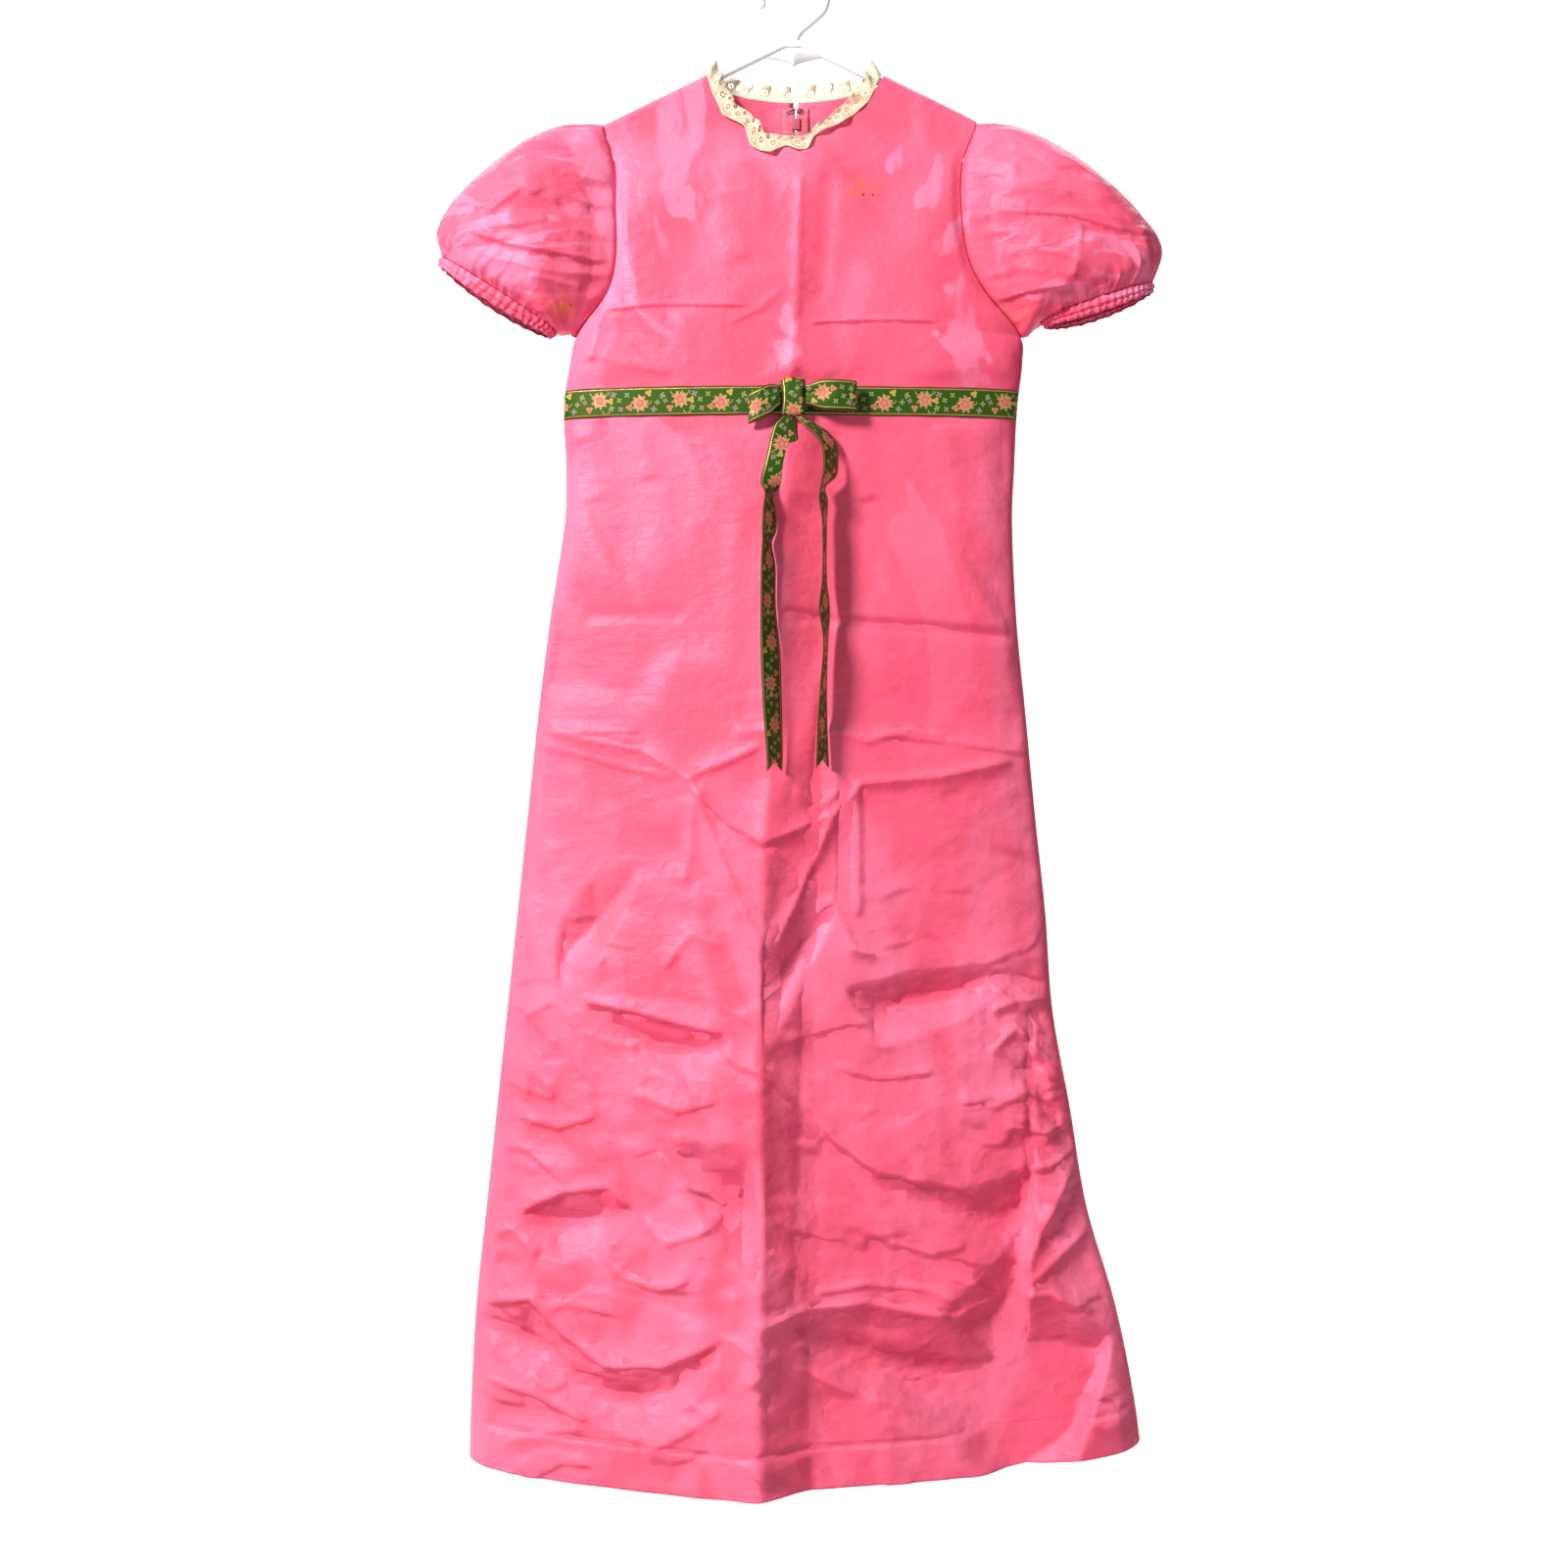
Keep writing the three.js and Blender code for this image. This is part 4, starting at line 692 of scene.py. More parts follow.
pieces = {}
pieces["bodice_front"] = shell(
    "bodice_front", bodice_grid(FRONT, 0, 240, 170), CLOTH, trim=keep_off(FRONT, 0), coarse=4)
front_skirt = skirt_grid(FRONT, 0, 240, 390)
pieces["skirt_front"] = shell(
    "skirt_front", front_skirt, hem_thickness(front_skirt), trim=keep_off(FRONT, 0), coarse=5)
for half in (-1, 1):
    side = side_name(half)
    bodice = bodice_grid(BACK, half, 90, 110)
    skirt = skirt_grid(BACK, half, 100, 290)
    trim = keep_off(BACK, half)
    pieces["bodice_back_" + side] = shell("bodice_back_" + side, bodice, CLOTH, trim=trim, coarse=3)
    pieces["skirt_back_" + side] = shell("skirt_back_" + side, skirt, hem_thickness(skirt), trim=trim,
                                        coarse=4)

# ---- sleeves and cuffs ----

# The sleeve's rings fan out about the underarm, in millimetres
SLEEVE_RINGS = {
    -1: table("at topX topZ lowX lowZ depth", [
        (1, -200, -153, -214, -359.5, 27), (2, -222, -156, -217, -358.5, 37),
        (3, -252, -167, -220, -357.5, 44),
        (4, -290, -191, -223, -356.5, 46), (5, -324, -222, -226, -355.5, 42),
        (6, -345, -256, -228, -354.5, 34),
        (7, -341, -282, -230, -353.5, 23),
    ]),
    1: table("at topX topZ lowX lowZ depth", [
        (1, 196, -152, 223, -359, 27), (2, 219, -157, 226, -357.5, 37), (3, 250, -171, 229, -355.5, 44),
        (4, 290, -197, 232, -353, 46), (5, 328, -233, 235, -350, 43), (6, 356, -272, 238, -347, 36),
        (7, 348, -307, 241, -342, 25),
    ]),
}
CUFF_DIRECTION = {-1: (-0.545, -0.838), 1: (0.2, -0.98)}
CUFF_HEIGHT = 16 * MM
RING_POWER = 2.2

# Creases on a sleeve's front, in millimetres, as on the body
SLEEVE_CREASES = {
    -1: [
        ([(-178, -194), (-205, -190), (-238, -168)], 9, -2.5, CREST),
        ([(-176, -184), (-208, -172)], 6, 3.0, CREST),
        ([(-172, -227), (-190, -226), (-218, -212)], 9, -2.5, CREST),
        ([(-173, -215), (-200, -205)], 6, 3.0, CREST),
        ([(-171, -251), (-202, -250)], 8, -1.7, CREST),
        ([(-172, -240), (-205, -236), (-232, -222)], 6, 2.6, CREST),
        ([(-176, -289), (-200, -285), (-224, -279)], 9, -2.2, CREST),
        ([(-173, -270), (-210, -264)], 6, 2.6, CREST),
        ([(-184, -292), (-232, -287), (-268, -280), (-303, -268)], 7, 6.0, STEP),
        ([(-192, -306), (-240, -304), (-290, -290)], 6, 3.5, CREST),
        ([(-206, -328), (-240, -326), (-268, -320)], 9, -2.2, CREST),
        ([(-205, -318), (-250, -310)], 6, 3.0, CREST),
        ([(-308, -210), (-306, -228), (-300, -244)], 7, 4.0, CREST),
        ([(-326, -226), (-322, -262), (-309, -303)], 10, 5.5, CREST),
        ([(-340, -238), (-338, -268), (-328, -292)], 11, -2.2, CREST),
        ([(-250, -172), (-272, -186), (-290, -212)], 10, 4.0, CREST),
        ([(-225, -240), (-258, -226), (-292, -248)], 9, 4.0, STEP),
        ([(-236, -256), (-262, -262), (-290, -262)], 8, 3.5, STEP),
        ([(-262, -196), (-244, -232)], 12, 4.0, ROLL),
    ],
    1: [
        ([(190, -180), (222, -186), (244, -206)], 9, -2.5, CREST),
        ([(186, -196), (215, -204)], 6, 3.0, CREST),
        ([(166, -222), (196, -226), (224, -240)], 6, 3.0, CREST),
        ([(168, -212), (200, -214)], 9, -1.9, CREST),
        ([(168, -264), (186, -256)], 9, -2.2, CREST),
        ([(172, -290), (190, -284), (204, -268)], 9, -2.5, CREST),
        ([(170, -250), (200, -246), (222, -249)], 6, 3.5, CREST),
        ([(222, -249), (262, -252), (310, -264), (350, -267)], 8, 6.0, STEP),
        ([(272, -262), (270, -285), (264, -310)], 7, 4.5, CREST),
        ([(331, -262), (337, -285), (339, -312)], 9, 5.0, CREST),
        ([(281, -273), (302, -286), (313, -290), (328, -301)], 7, 4.0, CREST),
        ([(176, -320), (200, -326), (222, -322), (263, -318)], 6, 5.0, STEP),
        ([(182, -334), (215, -338), (248, -332)], 9, -2.2, CREST),
        ([(178, -305), (215, -300), (240, -306)], 6, 3.5, CREST),
        ([(240, -190), (268, -198), (292, -214)], 9, 4.0, CREST),
        ([(292, -214), (316, -224), (334, -242)], 9, 4.0, CREST),
        ([(205, -228), (235, -226), (262, -234)], 8, 3.5, STEP),
        ([(228, -282), (262, -292), (296, -312)], 8, 3.5, STEP),
    ],
}


def away_from_armhole(half, z):
    step = 8 * MM
    high, low = np.minimum(z + step, SHOULDER_TIP_Z), np.maximum(z - step, UNDERARM_Z)
    edge = side_name(half)
    along = follow(BODY, "z", edge, low) - follow(BODY, "z", edge, high)
    out = np.stack([half * (high - low), 0 * z, half * along], axis=-1)
    return out / np.linalg.norm(out, axis=-1, keepdims=True)


def gathers(u, turn):
    """Uneven small pleats across u, with sharp crests and round valleys. It repeats with the noise."""
    height = noise(u, 0 * u + turn)
    return (1 - np.minimum(1, np.abs(height) * 2.0)) ** 1.3 - 0.35


def sleeve_grid(half, rings, points):
    angle = np.arange(points) * 2 * math.pi / points
    face = np.where(np.sin(angle) > 0, FRONT, BACK)
    down = (1 - np.cos(angle)) / 2
    edge = side_name(half)
    z0 = lerp(SHOULDER_TIP_Z, UNDERARM_Z, down)
    x0 = follow(BODY, "z", edge, z0)
    y0 = np.where(face < 0, body_depth(FRONT, x0, z0), body_depth(BACK, x0, z0)) + SEAM / 2
    first = np.stack([x0, face * y0 * (np.abs(np.sin(angle)) > 1e-6), z0], axis=-1)
    first = first + away_from_armhole(half, z0) * SEAM
    shape = (1 - np.abs(np.cos(angle)) ** RING_POWER) ** (1 / RING_POWER)
    rows = []
    for ring in 1 + 6 * np.linspace(0, 1, rings) ** 0.9:
        at = {key: follow(SLEEVE_RINGS[half], "at", key, ring * MM) for key in SLEEVE_RINGS[half]}
        straight = lerp(at["topX"], at["lowX"], down)
        lean = x0 - lerp(x0[0], x0[points // 2], down)
        x = straight + lean * max(0, 1.5 - 0.5 * ring) / 2
        rows.append(np.stack([x, face * at["depth"] * shape, lerp(at["topZ"], at["lowZ"], down)], axis=-1))
    near = [lerp(first, rows[0], t) for t in (0, 0.2, 0.4, 0.6, 0.8)]
    for i, t in enumerate((0, 0.2, 0.4, 0.6, 0.8)):
        near[i][:, 1] = lerp(first[:, 1], rows[0][:, 1], t ** 0.6)
    base = np.stack(near + rows)
    r = np.linspace(0, 1, len(base))[:, None] + 0 * angle[None]
    a = angle[None] + 0 * r
    wide = np.sin(a) ** 2
    u = a / (2 * math.pi)
    bend = 0.5 * noise(u * 8 + 2 * half, r * 2.5)
    head = gathers(u * PERIOD * 0.42 + bend, 11 + half) * smooth(r / 0.04) * (1 - smooth(r / 0.42)) ** 1.4
    long_head = gathers(u * PERIOD * 0.17 + bend, 31 + half)
    long_head = long_head * smooth(r / 0.05) * (1 - smooth(r / 0.75)) ** 1.2
    foot = gathers(u * PERIOD * 0.5 - bend, 47 + half) * smooth((r - 0.5) / 0.5) ** 1.3
    long_foot = gathers(u * PERIOD * 0.21 - bend, 5 + half) * smooth((r - 0.3) / 0.6) ** 1.2
    ends = smooth((1 - r) / 0.04 + 0.3)
    puff = noise(u * 8 + 3 * half, r * 2.2 + 2) * 3.0 * smooth(r / 0.25) * smooth((1 - r) / 0.25)
    flats = facets(u * 16 * 33, r * 200, 60, 46, 7 + 3 * half) * 3.2
    flats = flats * smooth(r / 0.15) * smooth((1 - r) / 0.15)
    pleats = head * 2.3 + long_head * 1.8 + (foot * 2.0 + long_foot * 2.0) * ends
    total = (pleats * (0.35 + 0.65 * wide) + puff + flats * wide) * MM
    fronts = crease_rise(SLEEVE_CREASES[half], base[..., 0], base[..., 2])
    backs = crease_rise(SLEEVE_CREASES[half], base[..., 0] + 14 * MM * half, base[..., 2] + 9 * MM) * 0.8
    creases = np.where(face[None] < 0, fronts, backs) * smooth(r / 0.06) * smooth((1 - r) / 0.05)
    total = total + creases * wide ** 0.5 * 0.75
    return base + normals_of(base, ring=True) * total[..., None]


def cuff_grid(half, rows, points):
    """An elastic casing, gathered all round into uneven small pleats between its two edges."""
    angle = np.arange(points) * 2 * math.pi / points
    u = angle / (2 * math.pi)
    ring = {key: SLEEVE_RINGS[half][key][-1] for key in SLEEVE_RINGS[half]}
    face = np.where(np.sin(angle) > 0, FRONT, BACK)
    down = (1 - np.cos(angle)) / 2
    shape = (1 - np.abs(np.cos(angle)) ** RING_POWER) ** (1 / RING_POWER)
    base = np.stack([lerp(ring["topX"], ring["lowX"], down), face * ring["depth"] * shape,
                     lerp(ring["topZ"], ring["lowZ"], down)], axis=-1)
    middle = np.array([(ring["topX"] + ring["lowX"]) / 2, 0, (ring["topZ"] + ring["lowZ"]) / 2])
    out = (base - middle) * np.array([1, 3, 1])
    out /= np.linalg.norm(out, axis=-1, keepdims=True)
    along = np.array([CUFF_DIRECTION[half][0], 0, CUFF_DIRECTION[half][1]])
    rounding = 0.62 + 0.38 * np.sin(angle) ** 2
    grid = []
    for t in np.linspace(0, 1, rows):
        phase = 46 * angle + 3.0 * noise(u * 16, 0 * u + 1.1 * t + half)
        pleat = np.sin(phase) * (0.75 + 0.6 * noise(u * 21.33, 0 * u + 11)) * (0.7 + 0.35 * t)
        wrinkle = (crisp(u * PERIOD, 0 * u + t * 2.2 + 5) - 0.4) * 0.6
        swell = 2.2 * math.sin(math.pi * t) - 1.8 * math.exp(-((t - 0.64) / 0.08) ** 2) - 2.4 * t
        row = base + out * ((swell + pleat + wrinkle) * MM)[:, None]
        reach = 1.5 * SEAM + t * (CUFF_HEIGHT - 2 * MM) * rounding + 0.5 * MM * t * np.sin(phase * 0.5 + 1)
        grid.append(row + along * reach[:, None])
    return np.stack(grid)


CUFF_STITCH_ROW = 9
cuffs = {}
for half in (-1, 1):
    side = side_name(half)
    sleeve = sleeve_grid(half, 76, 320)
    pieces["sleeve_" + side] = shell("sleeve_" + side, sleeve, CLOTH, ring=True, coarse=4)
    cuffs[half] = cuff_grid(half, 15, 420)
    pieces["cuff_" + side] = shell("cuff_" + side, cuffs[half], CLOTH, ring=True)


# ---- neck lace ----

def neck_line(count):
    """Evenly spaced points once round the neckline, from one side of the zip to the other."""
    parts = []
    for face, low, high, half in ((BACK, 0, -NECK_SHARE, -1), (FRONT, -NECK_SHARE, NECK_SHARE, 0),
                                  (BACK, NECK_SHARE, 0, 1)):
        q = np.linspace(low, high, 400)[(1 if half == 0 else 0):(-1 if half == 0 else None)]
        x, z = top_edge(face, q)
        z = z - 0.01 * MM
        points = np.stack([x, face * (body_depth(face, x, z) + SEAM / 2), z], axis=-1)
        parts.append(part(points, half) if half else points)
    points = np.concatenate(parts)
    reach = np.concatenate([[0], np.cumsum(np.linalg.norm(np.diff(points, axis=0), axis=1))])
    want = np.linspace(0, reach[-1], count)
    return np.stack([np.interp(want, reach, points[:, n]) for n in range(3)], axis=-1), want


LACE_WIDTH = 17 * MM
LACE_WAVES = 22


# The front lace ruffles in its own plane too: its outer and inner edge, in millimetres
FRONT_LACE = table("outX outZ inX inZ", [
    (-86, -99, -72, -97), (-83, -110, -68, -108), (-78, -124, -61, -121), (-69, -147, -57, -134),
    (-57, -153, -49, -141),
    (-47, -160, -40, -147), (-42, -179, -32, -156), (-33, -184, -28, -165), (-22, -187, -20, -168),
    (-15, -183, -13, -169),
    (-8, -179, -8, -169), (3, -184, 1, -170), (13, -183, 9, -170), (19, -171, 16, -164),
    (24, -165, 22, -157),
    (45, -156, 34, -149), (58, -147, 47, -135), (75, -131, 62, -123), (83, -114, 66, -110),
    (86, -100, 70, -97),
])


def ruffled_edge(key_x, key_z, share):
    """An edge of the front lace: x and z at each share of its length, with rounded corners."""
    xs, zs = FRONT_LACE[key_x], FRONT_LACE[key_z]
    middle_x = (FRONT_LACE["outX"] + FRONT_LACE["inX"]) / 2
    middle_z = (FRONT_LACE["outZ"] + FRONT_LACE["inZ"]) / 2
    steps = np.hypot(np.diff(middle_x), np.diff(middle_z))
    at = np.concatenate([[0], np.cumsum(steps)]) / steps.sum()
    soft = np.exp(-np.linspace(-2, 2, 9) ** 2)
    soft /= soft.sum()
    spread = np.linspace(-0.014, 0.014, 9)
    x = sum(weight * np.interp(share + off, at, xs) for weight, off in zip(soft, spread))
    z = sum(weight * np.interp(share + off, at, zs) for weight, off in zip(soft, spread))
    return x, z


def lace_grid(count, rows):
    p, reach = neck_line(count)
    lift, over, height = SEAM + 0.6 * MM, 9.5 * MM, 3.6 * MM
    below = NECK_POINT_Z - p[:, 2]
    front = np.where(p[:, 1] < 0, smooth((below - 10 * MM) / (35 * MM)), 0)
    side = np.abs(p[:, 0]) / NECK_POINT
    rolled = smooth(1 - np.abs(p[:, 1]) / ROLL_DEPTH)
    up = np.stack([-np.sign(p[:, 0]) * 0.7 * side ** 2,
                   np.where(front > 0, -0.15, 0.1), 1 + 0 * side], axis=-1)
    up /= np.linalg.norm(up, axis=-1, keepdims=True)
    facing = np.stack([0 * side, np.where(p[:, 1] < 0, -1, 1) * (1 - rolled), rolled + 1e-9], axis=-1)
    facing /= np.linalg.norm(facing, axis=-1, keepdims=True)
    share = reach / reach[-1]
    turn = share * LACE_WAVES * 2 * math.pi + 0.6 + 1.1 * noise(share * 9, 0 * share + 3)
    wave = np.sin(turn) * (0.85 + 0.4 * noise(share * 12, 0 * share + 8))
    along = np.gradient(p, axis=0)
    along /= np.maximum(np.linalg.norm(along, axis=-1, keepdims=True), 1e-9)
    in_front = p[:, 1] < 0
    first, last = reach[in_front][0], reach[in_front][-1]
    over_front = (reach - first) / (last - first)
    outer_edge = ruffled_edge("outX", "outZ", over_front)
    inner_edge = ruffled_edge("inX", "inZ", over_front)
    pulled = np.where(in_front, smooth(front * 1.6), 0)
    sway = np.cos(turn) * (0.8 + 0.5 * noise(share * 12, 0 * share + 8))
    grid = []
    for row in np.linspace(0, 1, rows):
        low = -over * front * (1 + 0.16 * np.sin(turn * 0.5 + 1) * smooth(np.abs(share - 0.5) * 16))
        w = low + LACE_WIDTH * row
        scallop = 1.4 * MM * np.abs(np.sin(reach / (24 * MM) * math.pi)) ** 0.6
        w = w + np.where(row == 0, 0, scallop * (abs(row - 0.5) * 2) ** 3 * np.sign(row - 0.5))
        wavy = np.where(w < 0, np.abs(w / over) * (0.5 + 0.5 * wave),
                        wave * np.maximum(0, w - 3 * MM) / (11 * MM))
        flare = np.where(rolled > 0, np.abs(wavy), wavy)
        at = p + up * w[:, None] + facing * (lift + height * flare)[:, None]
        swing = sway * (np.abs(w) / (9 * MM)) ** 1.3 * 2.3 * MM * np.where(rolled > 0, 0.4, 1)
        at = at + along * swing[:, None]
        at[:, 0] += -np.sign(p[:, 0]) * side * 0.5 * SEAM
        at[:, 0] = lerp(at[:, 0], lerp(outer_edge[0], inner_edge[0], row), pulled)
        at[:, 2] = lerp(at[:, 2], lerp(outer_edge[1], inner_edge[1], row), pulled)
        on_front = -(body_depth(FRONT, at[:, 0], at[:, 2]) + SEAM / 2) - 4 * SEAM
        on_front = on_front - height * np.maximum(0, flare)
        at[:, 1] = np.where((front > 0) & (w < 8 * MM), np.minimum(at[:, 1], on_front), at[:, 1])
        grid.append(at)
    return np.stack(grid), reach


lace_points, lace_reach = lace_grid(860, 13)
lace_u = np.repeat(lace_reach[None], 13, axis=0)
lace_v = np.repeat(np.linspace(0, LACE_WIDTH, 13)[:, None], 860, axis=1)
pieces["neck_lace"] = shell("neck_lace", lace_points, 0.5 * MM, uv=(lace_u, lace_v))

# ---- ribbon and bow ----

RIBBON = 0.6 * MM


def band_grid(face, half, columns, rows):
    low, high = span_of(half)
    t, q = np.meshgrid(np.linspace(0, 1, rows), np.linspace(low, high, columns), indexing="ij")
    z = WAIST_Z + (0.5 - t) * RIBBON_WIDTH
    x = column_x(face, q, z)
    depth = body_depth(face, x, z) + SEAM / 2
    pucker = 0.35 * MM * noise(x / (13 * MM), z / (40 * MM) + 4) * (2 * t - 1) ** 2
    edge = 0.5 * MM * noise(x / (31 * MM) + 7, 0 * z) * (1 - 2 * t)
    grid = np.stack([x, face * (depth + SEAM + RIBBON + 0.3 * MM + pucker), z + edge], axis=-1)
    return part(grid, half) if half else grid


for half in (0, -1, 1):
    name = "ribbon_front" if not half else "ribbon_back_" + side_name(half)
    face = BACK if half else FRONT
    band = band_grid(face, half, 200 if half else 400, 9)
    u, v = band[..., 0], RIBBON_WIDTH / 2 + WAIST_Z - band[..., 2]
    pieces[name] = shell(name, band, RIBBON, trim=keep_off(face, half), uv=(u, v))

KNOT_X, KNOT_Z = -1 * MM, -425.5 * MM
KNOT_HALF = np.array([11, 6, 18]) * MM


def front_of(x, z):
    near = [-(body_depth(FRONT, np.asarray(x + dx * MM), np.asarray(z)) + SEAM / 2)
            for dx in (-14, -7, 0, 7, 14)]
    return np.minimum.reduce(near)


KNOT_Y = float(front_of(KNOT_X, KNOT_Z)) - SEAM - 1 * MM - 3 * SEAM - KNOT_HALF[1]


def knot_grid(rows, points):
    """The knot's wrap: rows run across its width, and each goes once round it."""
    angle = np.arange(points) * 2 * math.pi / points
    grid = []
    for s in np.linspace(-1, 1, rows):
        bulge = (1 - abs(s) ** 3) ** (1 / 3)
        size = (np.abs(np.cos(angle)) ** 3 + np.abs(np.sin(angle)) ** 3) ** (-1 / 3)
        ridge = 0.9 * crisp(0 * angle + s * 3.4 + 5, angle * 0.8 + 2)
        ridge = ridge + 0.5 * noise(0 * angle + s * 5, angle * 2)
        grow = 1 + (ridge - 0.6) * 0.07
        y = KNOT_Y - np.sin(angle) * size * KNOT_HALF[1] * lerp(0.72, 1, bulge) * grow
        z = KNOT_Z + np.cos(angle) * size * KNOT_HALF[2] * lerp(0.8, 1, bulge) * grow
        x = KNOT_X + s * KNOT_HALF[0] * 0.98 + 0 * angle + 1.0 * MM * np.sin(2 * angle + s * 2)
        grid.append(np.stack([x, y, z], axis=-1))
    return np.stack(grid)


def ring_uv(grid, start, low, high):
    """UV of a ring of ribbon: u once round it, v across between two edges."""
    rows, points = grid.shape[:2]
    middle = np.concatenate([grid[rows // 2], grid[rows // 2][:1]])
    around = np.concatenate([[0], np.cumsum(np.linalg.norm(np.diff(middle, axis=0), axis=-1))])
    u = np.repeat(start + around[None], rows, axis=0)
    return u, np.repeat(np.linspace(low, high, rows)[:, None], points + 1, axis=1)


knot = knot_grid(17, 72)
pieces["bow_knot"] = shell("bow_knot", knot, RIBBON, ring=True, uv=ring_uv(knot, 0.012, 0, 22 * MM))


def loop_grid(side, length, open_by, tilt, rows, points):
    """A loop: a flattened ring of ribbon that leaves the knot at one end. Rows run across the ribbon."""
    angle = np.arange(points) * 2 * math.pi / points
    root = KNOT_X + side * (KNOT_HALF[0] + 2 * SEAM)
    out = (1 - np.cos(angle)) / 2
    pinch = lerp(0.66, 1, smooth(out * 2.6))
    grid = []
    for across in np.linspace(-1, 1, rows):
        pleat = 0.9 * MM * np.sin(across * 5 + 1.3 * side) * (1 - smooth(out * 1.5))
        sag = 0.8 * MM * noise(out * 2.3 + 4 * side, 0 * out + across * 1.2) * smooth(out * 3)
        along = out * length
        z = KNOT_Z + 2 * MM - along * math.sin(tilt) + across * RIBBON_WIDTH * pinch / 2
        y = KNOT_Y - MM - np.sin(-angle) * open_by * lerp(0.55, 1, smooth(out * 1.4)) + pleat + sag
        grid.append(np.stack([root + side * along * math.cos(tilt), y, z], axis=-1))
    return np.stack(grid)


for name, side, length, open_by, tilt in (("bow_loop_left", 1, 49 * MM, 6.5 * MM, 0.03),
                                          ("bow_loop_right", -1, 34 * MM, 6 * MM, 0.42)):
    loop = loop_grid(side, length, open_by, tilt, 15, 96)
    pieces[name] = shell(name, loop, RIBBON, ring=True, uv=ring_uv(loop, 0.0, 0, RIBBON_WIDTH))

# Tails, in millimetres: height, place, turn in degrees, share of the width, nearness to the knot's depth
TAILS = {
    "bow_tail_right": [
        (-443.9, -5.5, 12, 0.34, 1), (-452, -8, 16, 0.75, 0.5), (-470, -10, 10, 1, 0),
        (-492, -15, 14, 1, 0),
        (-508, -20, 35, 1, 0), (-519, -23, 72, 1, 0), (-535, -23, 66, 1, 0), (-552, -23, 62, 1, 0),
        (-565, -25, 72, 1, 0), (-586, -24, 62, 1, 0), (-626, -24, 60, 1, 0), (-668, -22, 50, 1, 0),
        (-724, -20, 52, 1, 0), (-764, -18, 58, 1, 0), (-781, -18, 60, 1, 0),
    ],
    "bow_tail_left": [
        (-443.9, 5, 12, 0.3, 1), (-449, 12, 25, 0.5, 0.7), (-457, 23, 40, 0.8, 0.3), (-470, 33, 52, 1, 0),
        (-484, 35, 58, 1, 0), (-500, 34, 62, 1, 0), (-511, 28, 80, 1, 0), (-524, 28, 72, 1, 0),
        (-545, 29, 80, 1, 0), (-600, 29, 80, 1, 0), (-627, 29, 68, 1, 0), (-660, 30, 80, 1, 0),
        (-702, 28, 76, 1, 0), (-738, 27, 70, 1, 0), (-778, 27, 64, 1, 0),
    ],
}


def tail_grid(rows, count, across_count):
    at = table("z x turn width atKnot", rows)
    z = np.linspace(at["z"][0], at["z"][-1], count)
    x, turn, width, near = (follow(at, "z", key, z) for key in ("x", "turn", "width", "atKnot"))
    turn, width, near = np.radians(turn / MM), np.clip(width / MM, 0.2, 1), np.clip(near / MM, 0, 1)
    half = width * RIBBON_WIDTH / 2
    hanging = front_of(x, z) - 2.4 * MM - half * np.sin(turn)
    y = lerp(hanging, KNOT_Y, near)
    s = np.linspace(-1, 1, across_count)[None]
    cup = 0.8 * MM * (1 - s ** 2) + 0.5 * MM * np.sin(s * 6) * (1 - width[:, None])
    grid = np.stack([x[:, None] + s * (half * np.cos(turn))[:, None] + 0 * s,
                     y[:, None] + s * (half * np.sin(turn))[:, None] - cup,
                     z[:, None] + 0 * s], axis=-1)
    notch = smooth((at["z"][-1] + 12 * MM - z) / (12 * MM))[:, None]
    grid[..., 2] += notch * 9 * MM * (1 - np.abs(s)) * 0.9
    return grid


for name, rows in TAILS.items():
    tail = tail_grid(rows, 200, 9)
    along = np.cumsum(np.linalg.norm(np.diff(tail[:, 4], axis=0, prepend=tail[:1, 4]), axis=-1))
    u = np.repeat(along[:, None] + (0.021 if "right" in name else 0.05), 9, axis=1)
    v = np.repeat(np.linspace(0, RIBBON_WIDTH, 9)[None], len(tail), axis=0)
    pieces[name] = shell(name, tail, RIBBON, uv=(u, v))


# ---- small hard parts ----

def tube(name, points, radius, sides=12):
    """A round rod along a smooth path."""
    curve = bpy.data.curves.new(name, "CURVE")
    curve.dimensions = "3D"
    curve.bevel_depth = radius
    curve.bevel_resolution = sides // 4
    curve.use_fill_caps = True
    curve.resolution_u = 8
    spline = curve.splines.new("NURBS")
    spline.points.add(len(points) - 1)
    for point, place in zip(spline.points, points):
        point.co = (*place, 1)
    spline.order_u = 3
    spline.use_endpoint_u = True
    made = bpy.data.objects.new(name, curve)
    bpy.context.scene.collection.objects.link(made)
    mesh = bpy.data.meshes.new_from_object(made.evaluated_get(bpy.context.evaluated_depsgraph_get()))
    bpy.data.objects.remove(made)
    for layer in list(mesh.uv_layers):
        mesh.uv_layers.remove(layer)
    mesh.polygons.foreach_set("use_smooth", [True] * len(mesh.polygons))
    solid = bpy.data.objects.new(name, mesh)
    bpy.context.scene.collection.objects.link(solid)
    return solid


def box_points(centre, size):
    corners = [(x, y, z) for x in (-0.5, 0.5) for y in (-0.5, 0.5) for z in (-0.5, 0.5)]
    return [tuple(c + s * k for c, s, k in zip(centre, size, corner)) for corner in corners]


BOX_FACES = [(0, 1, 3, 2), (4, 6, 7, 5), (0, 4, 5, 1), (2, 3, 7, 6), (0, 2, 6, 4), (1, 5, 7, 3)]


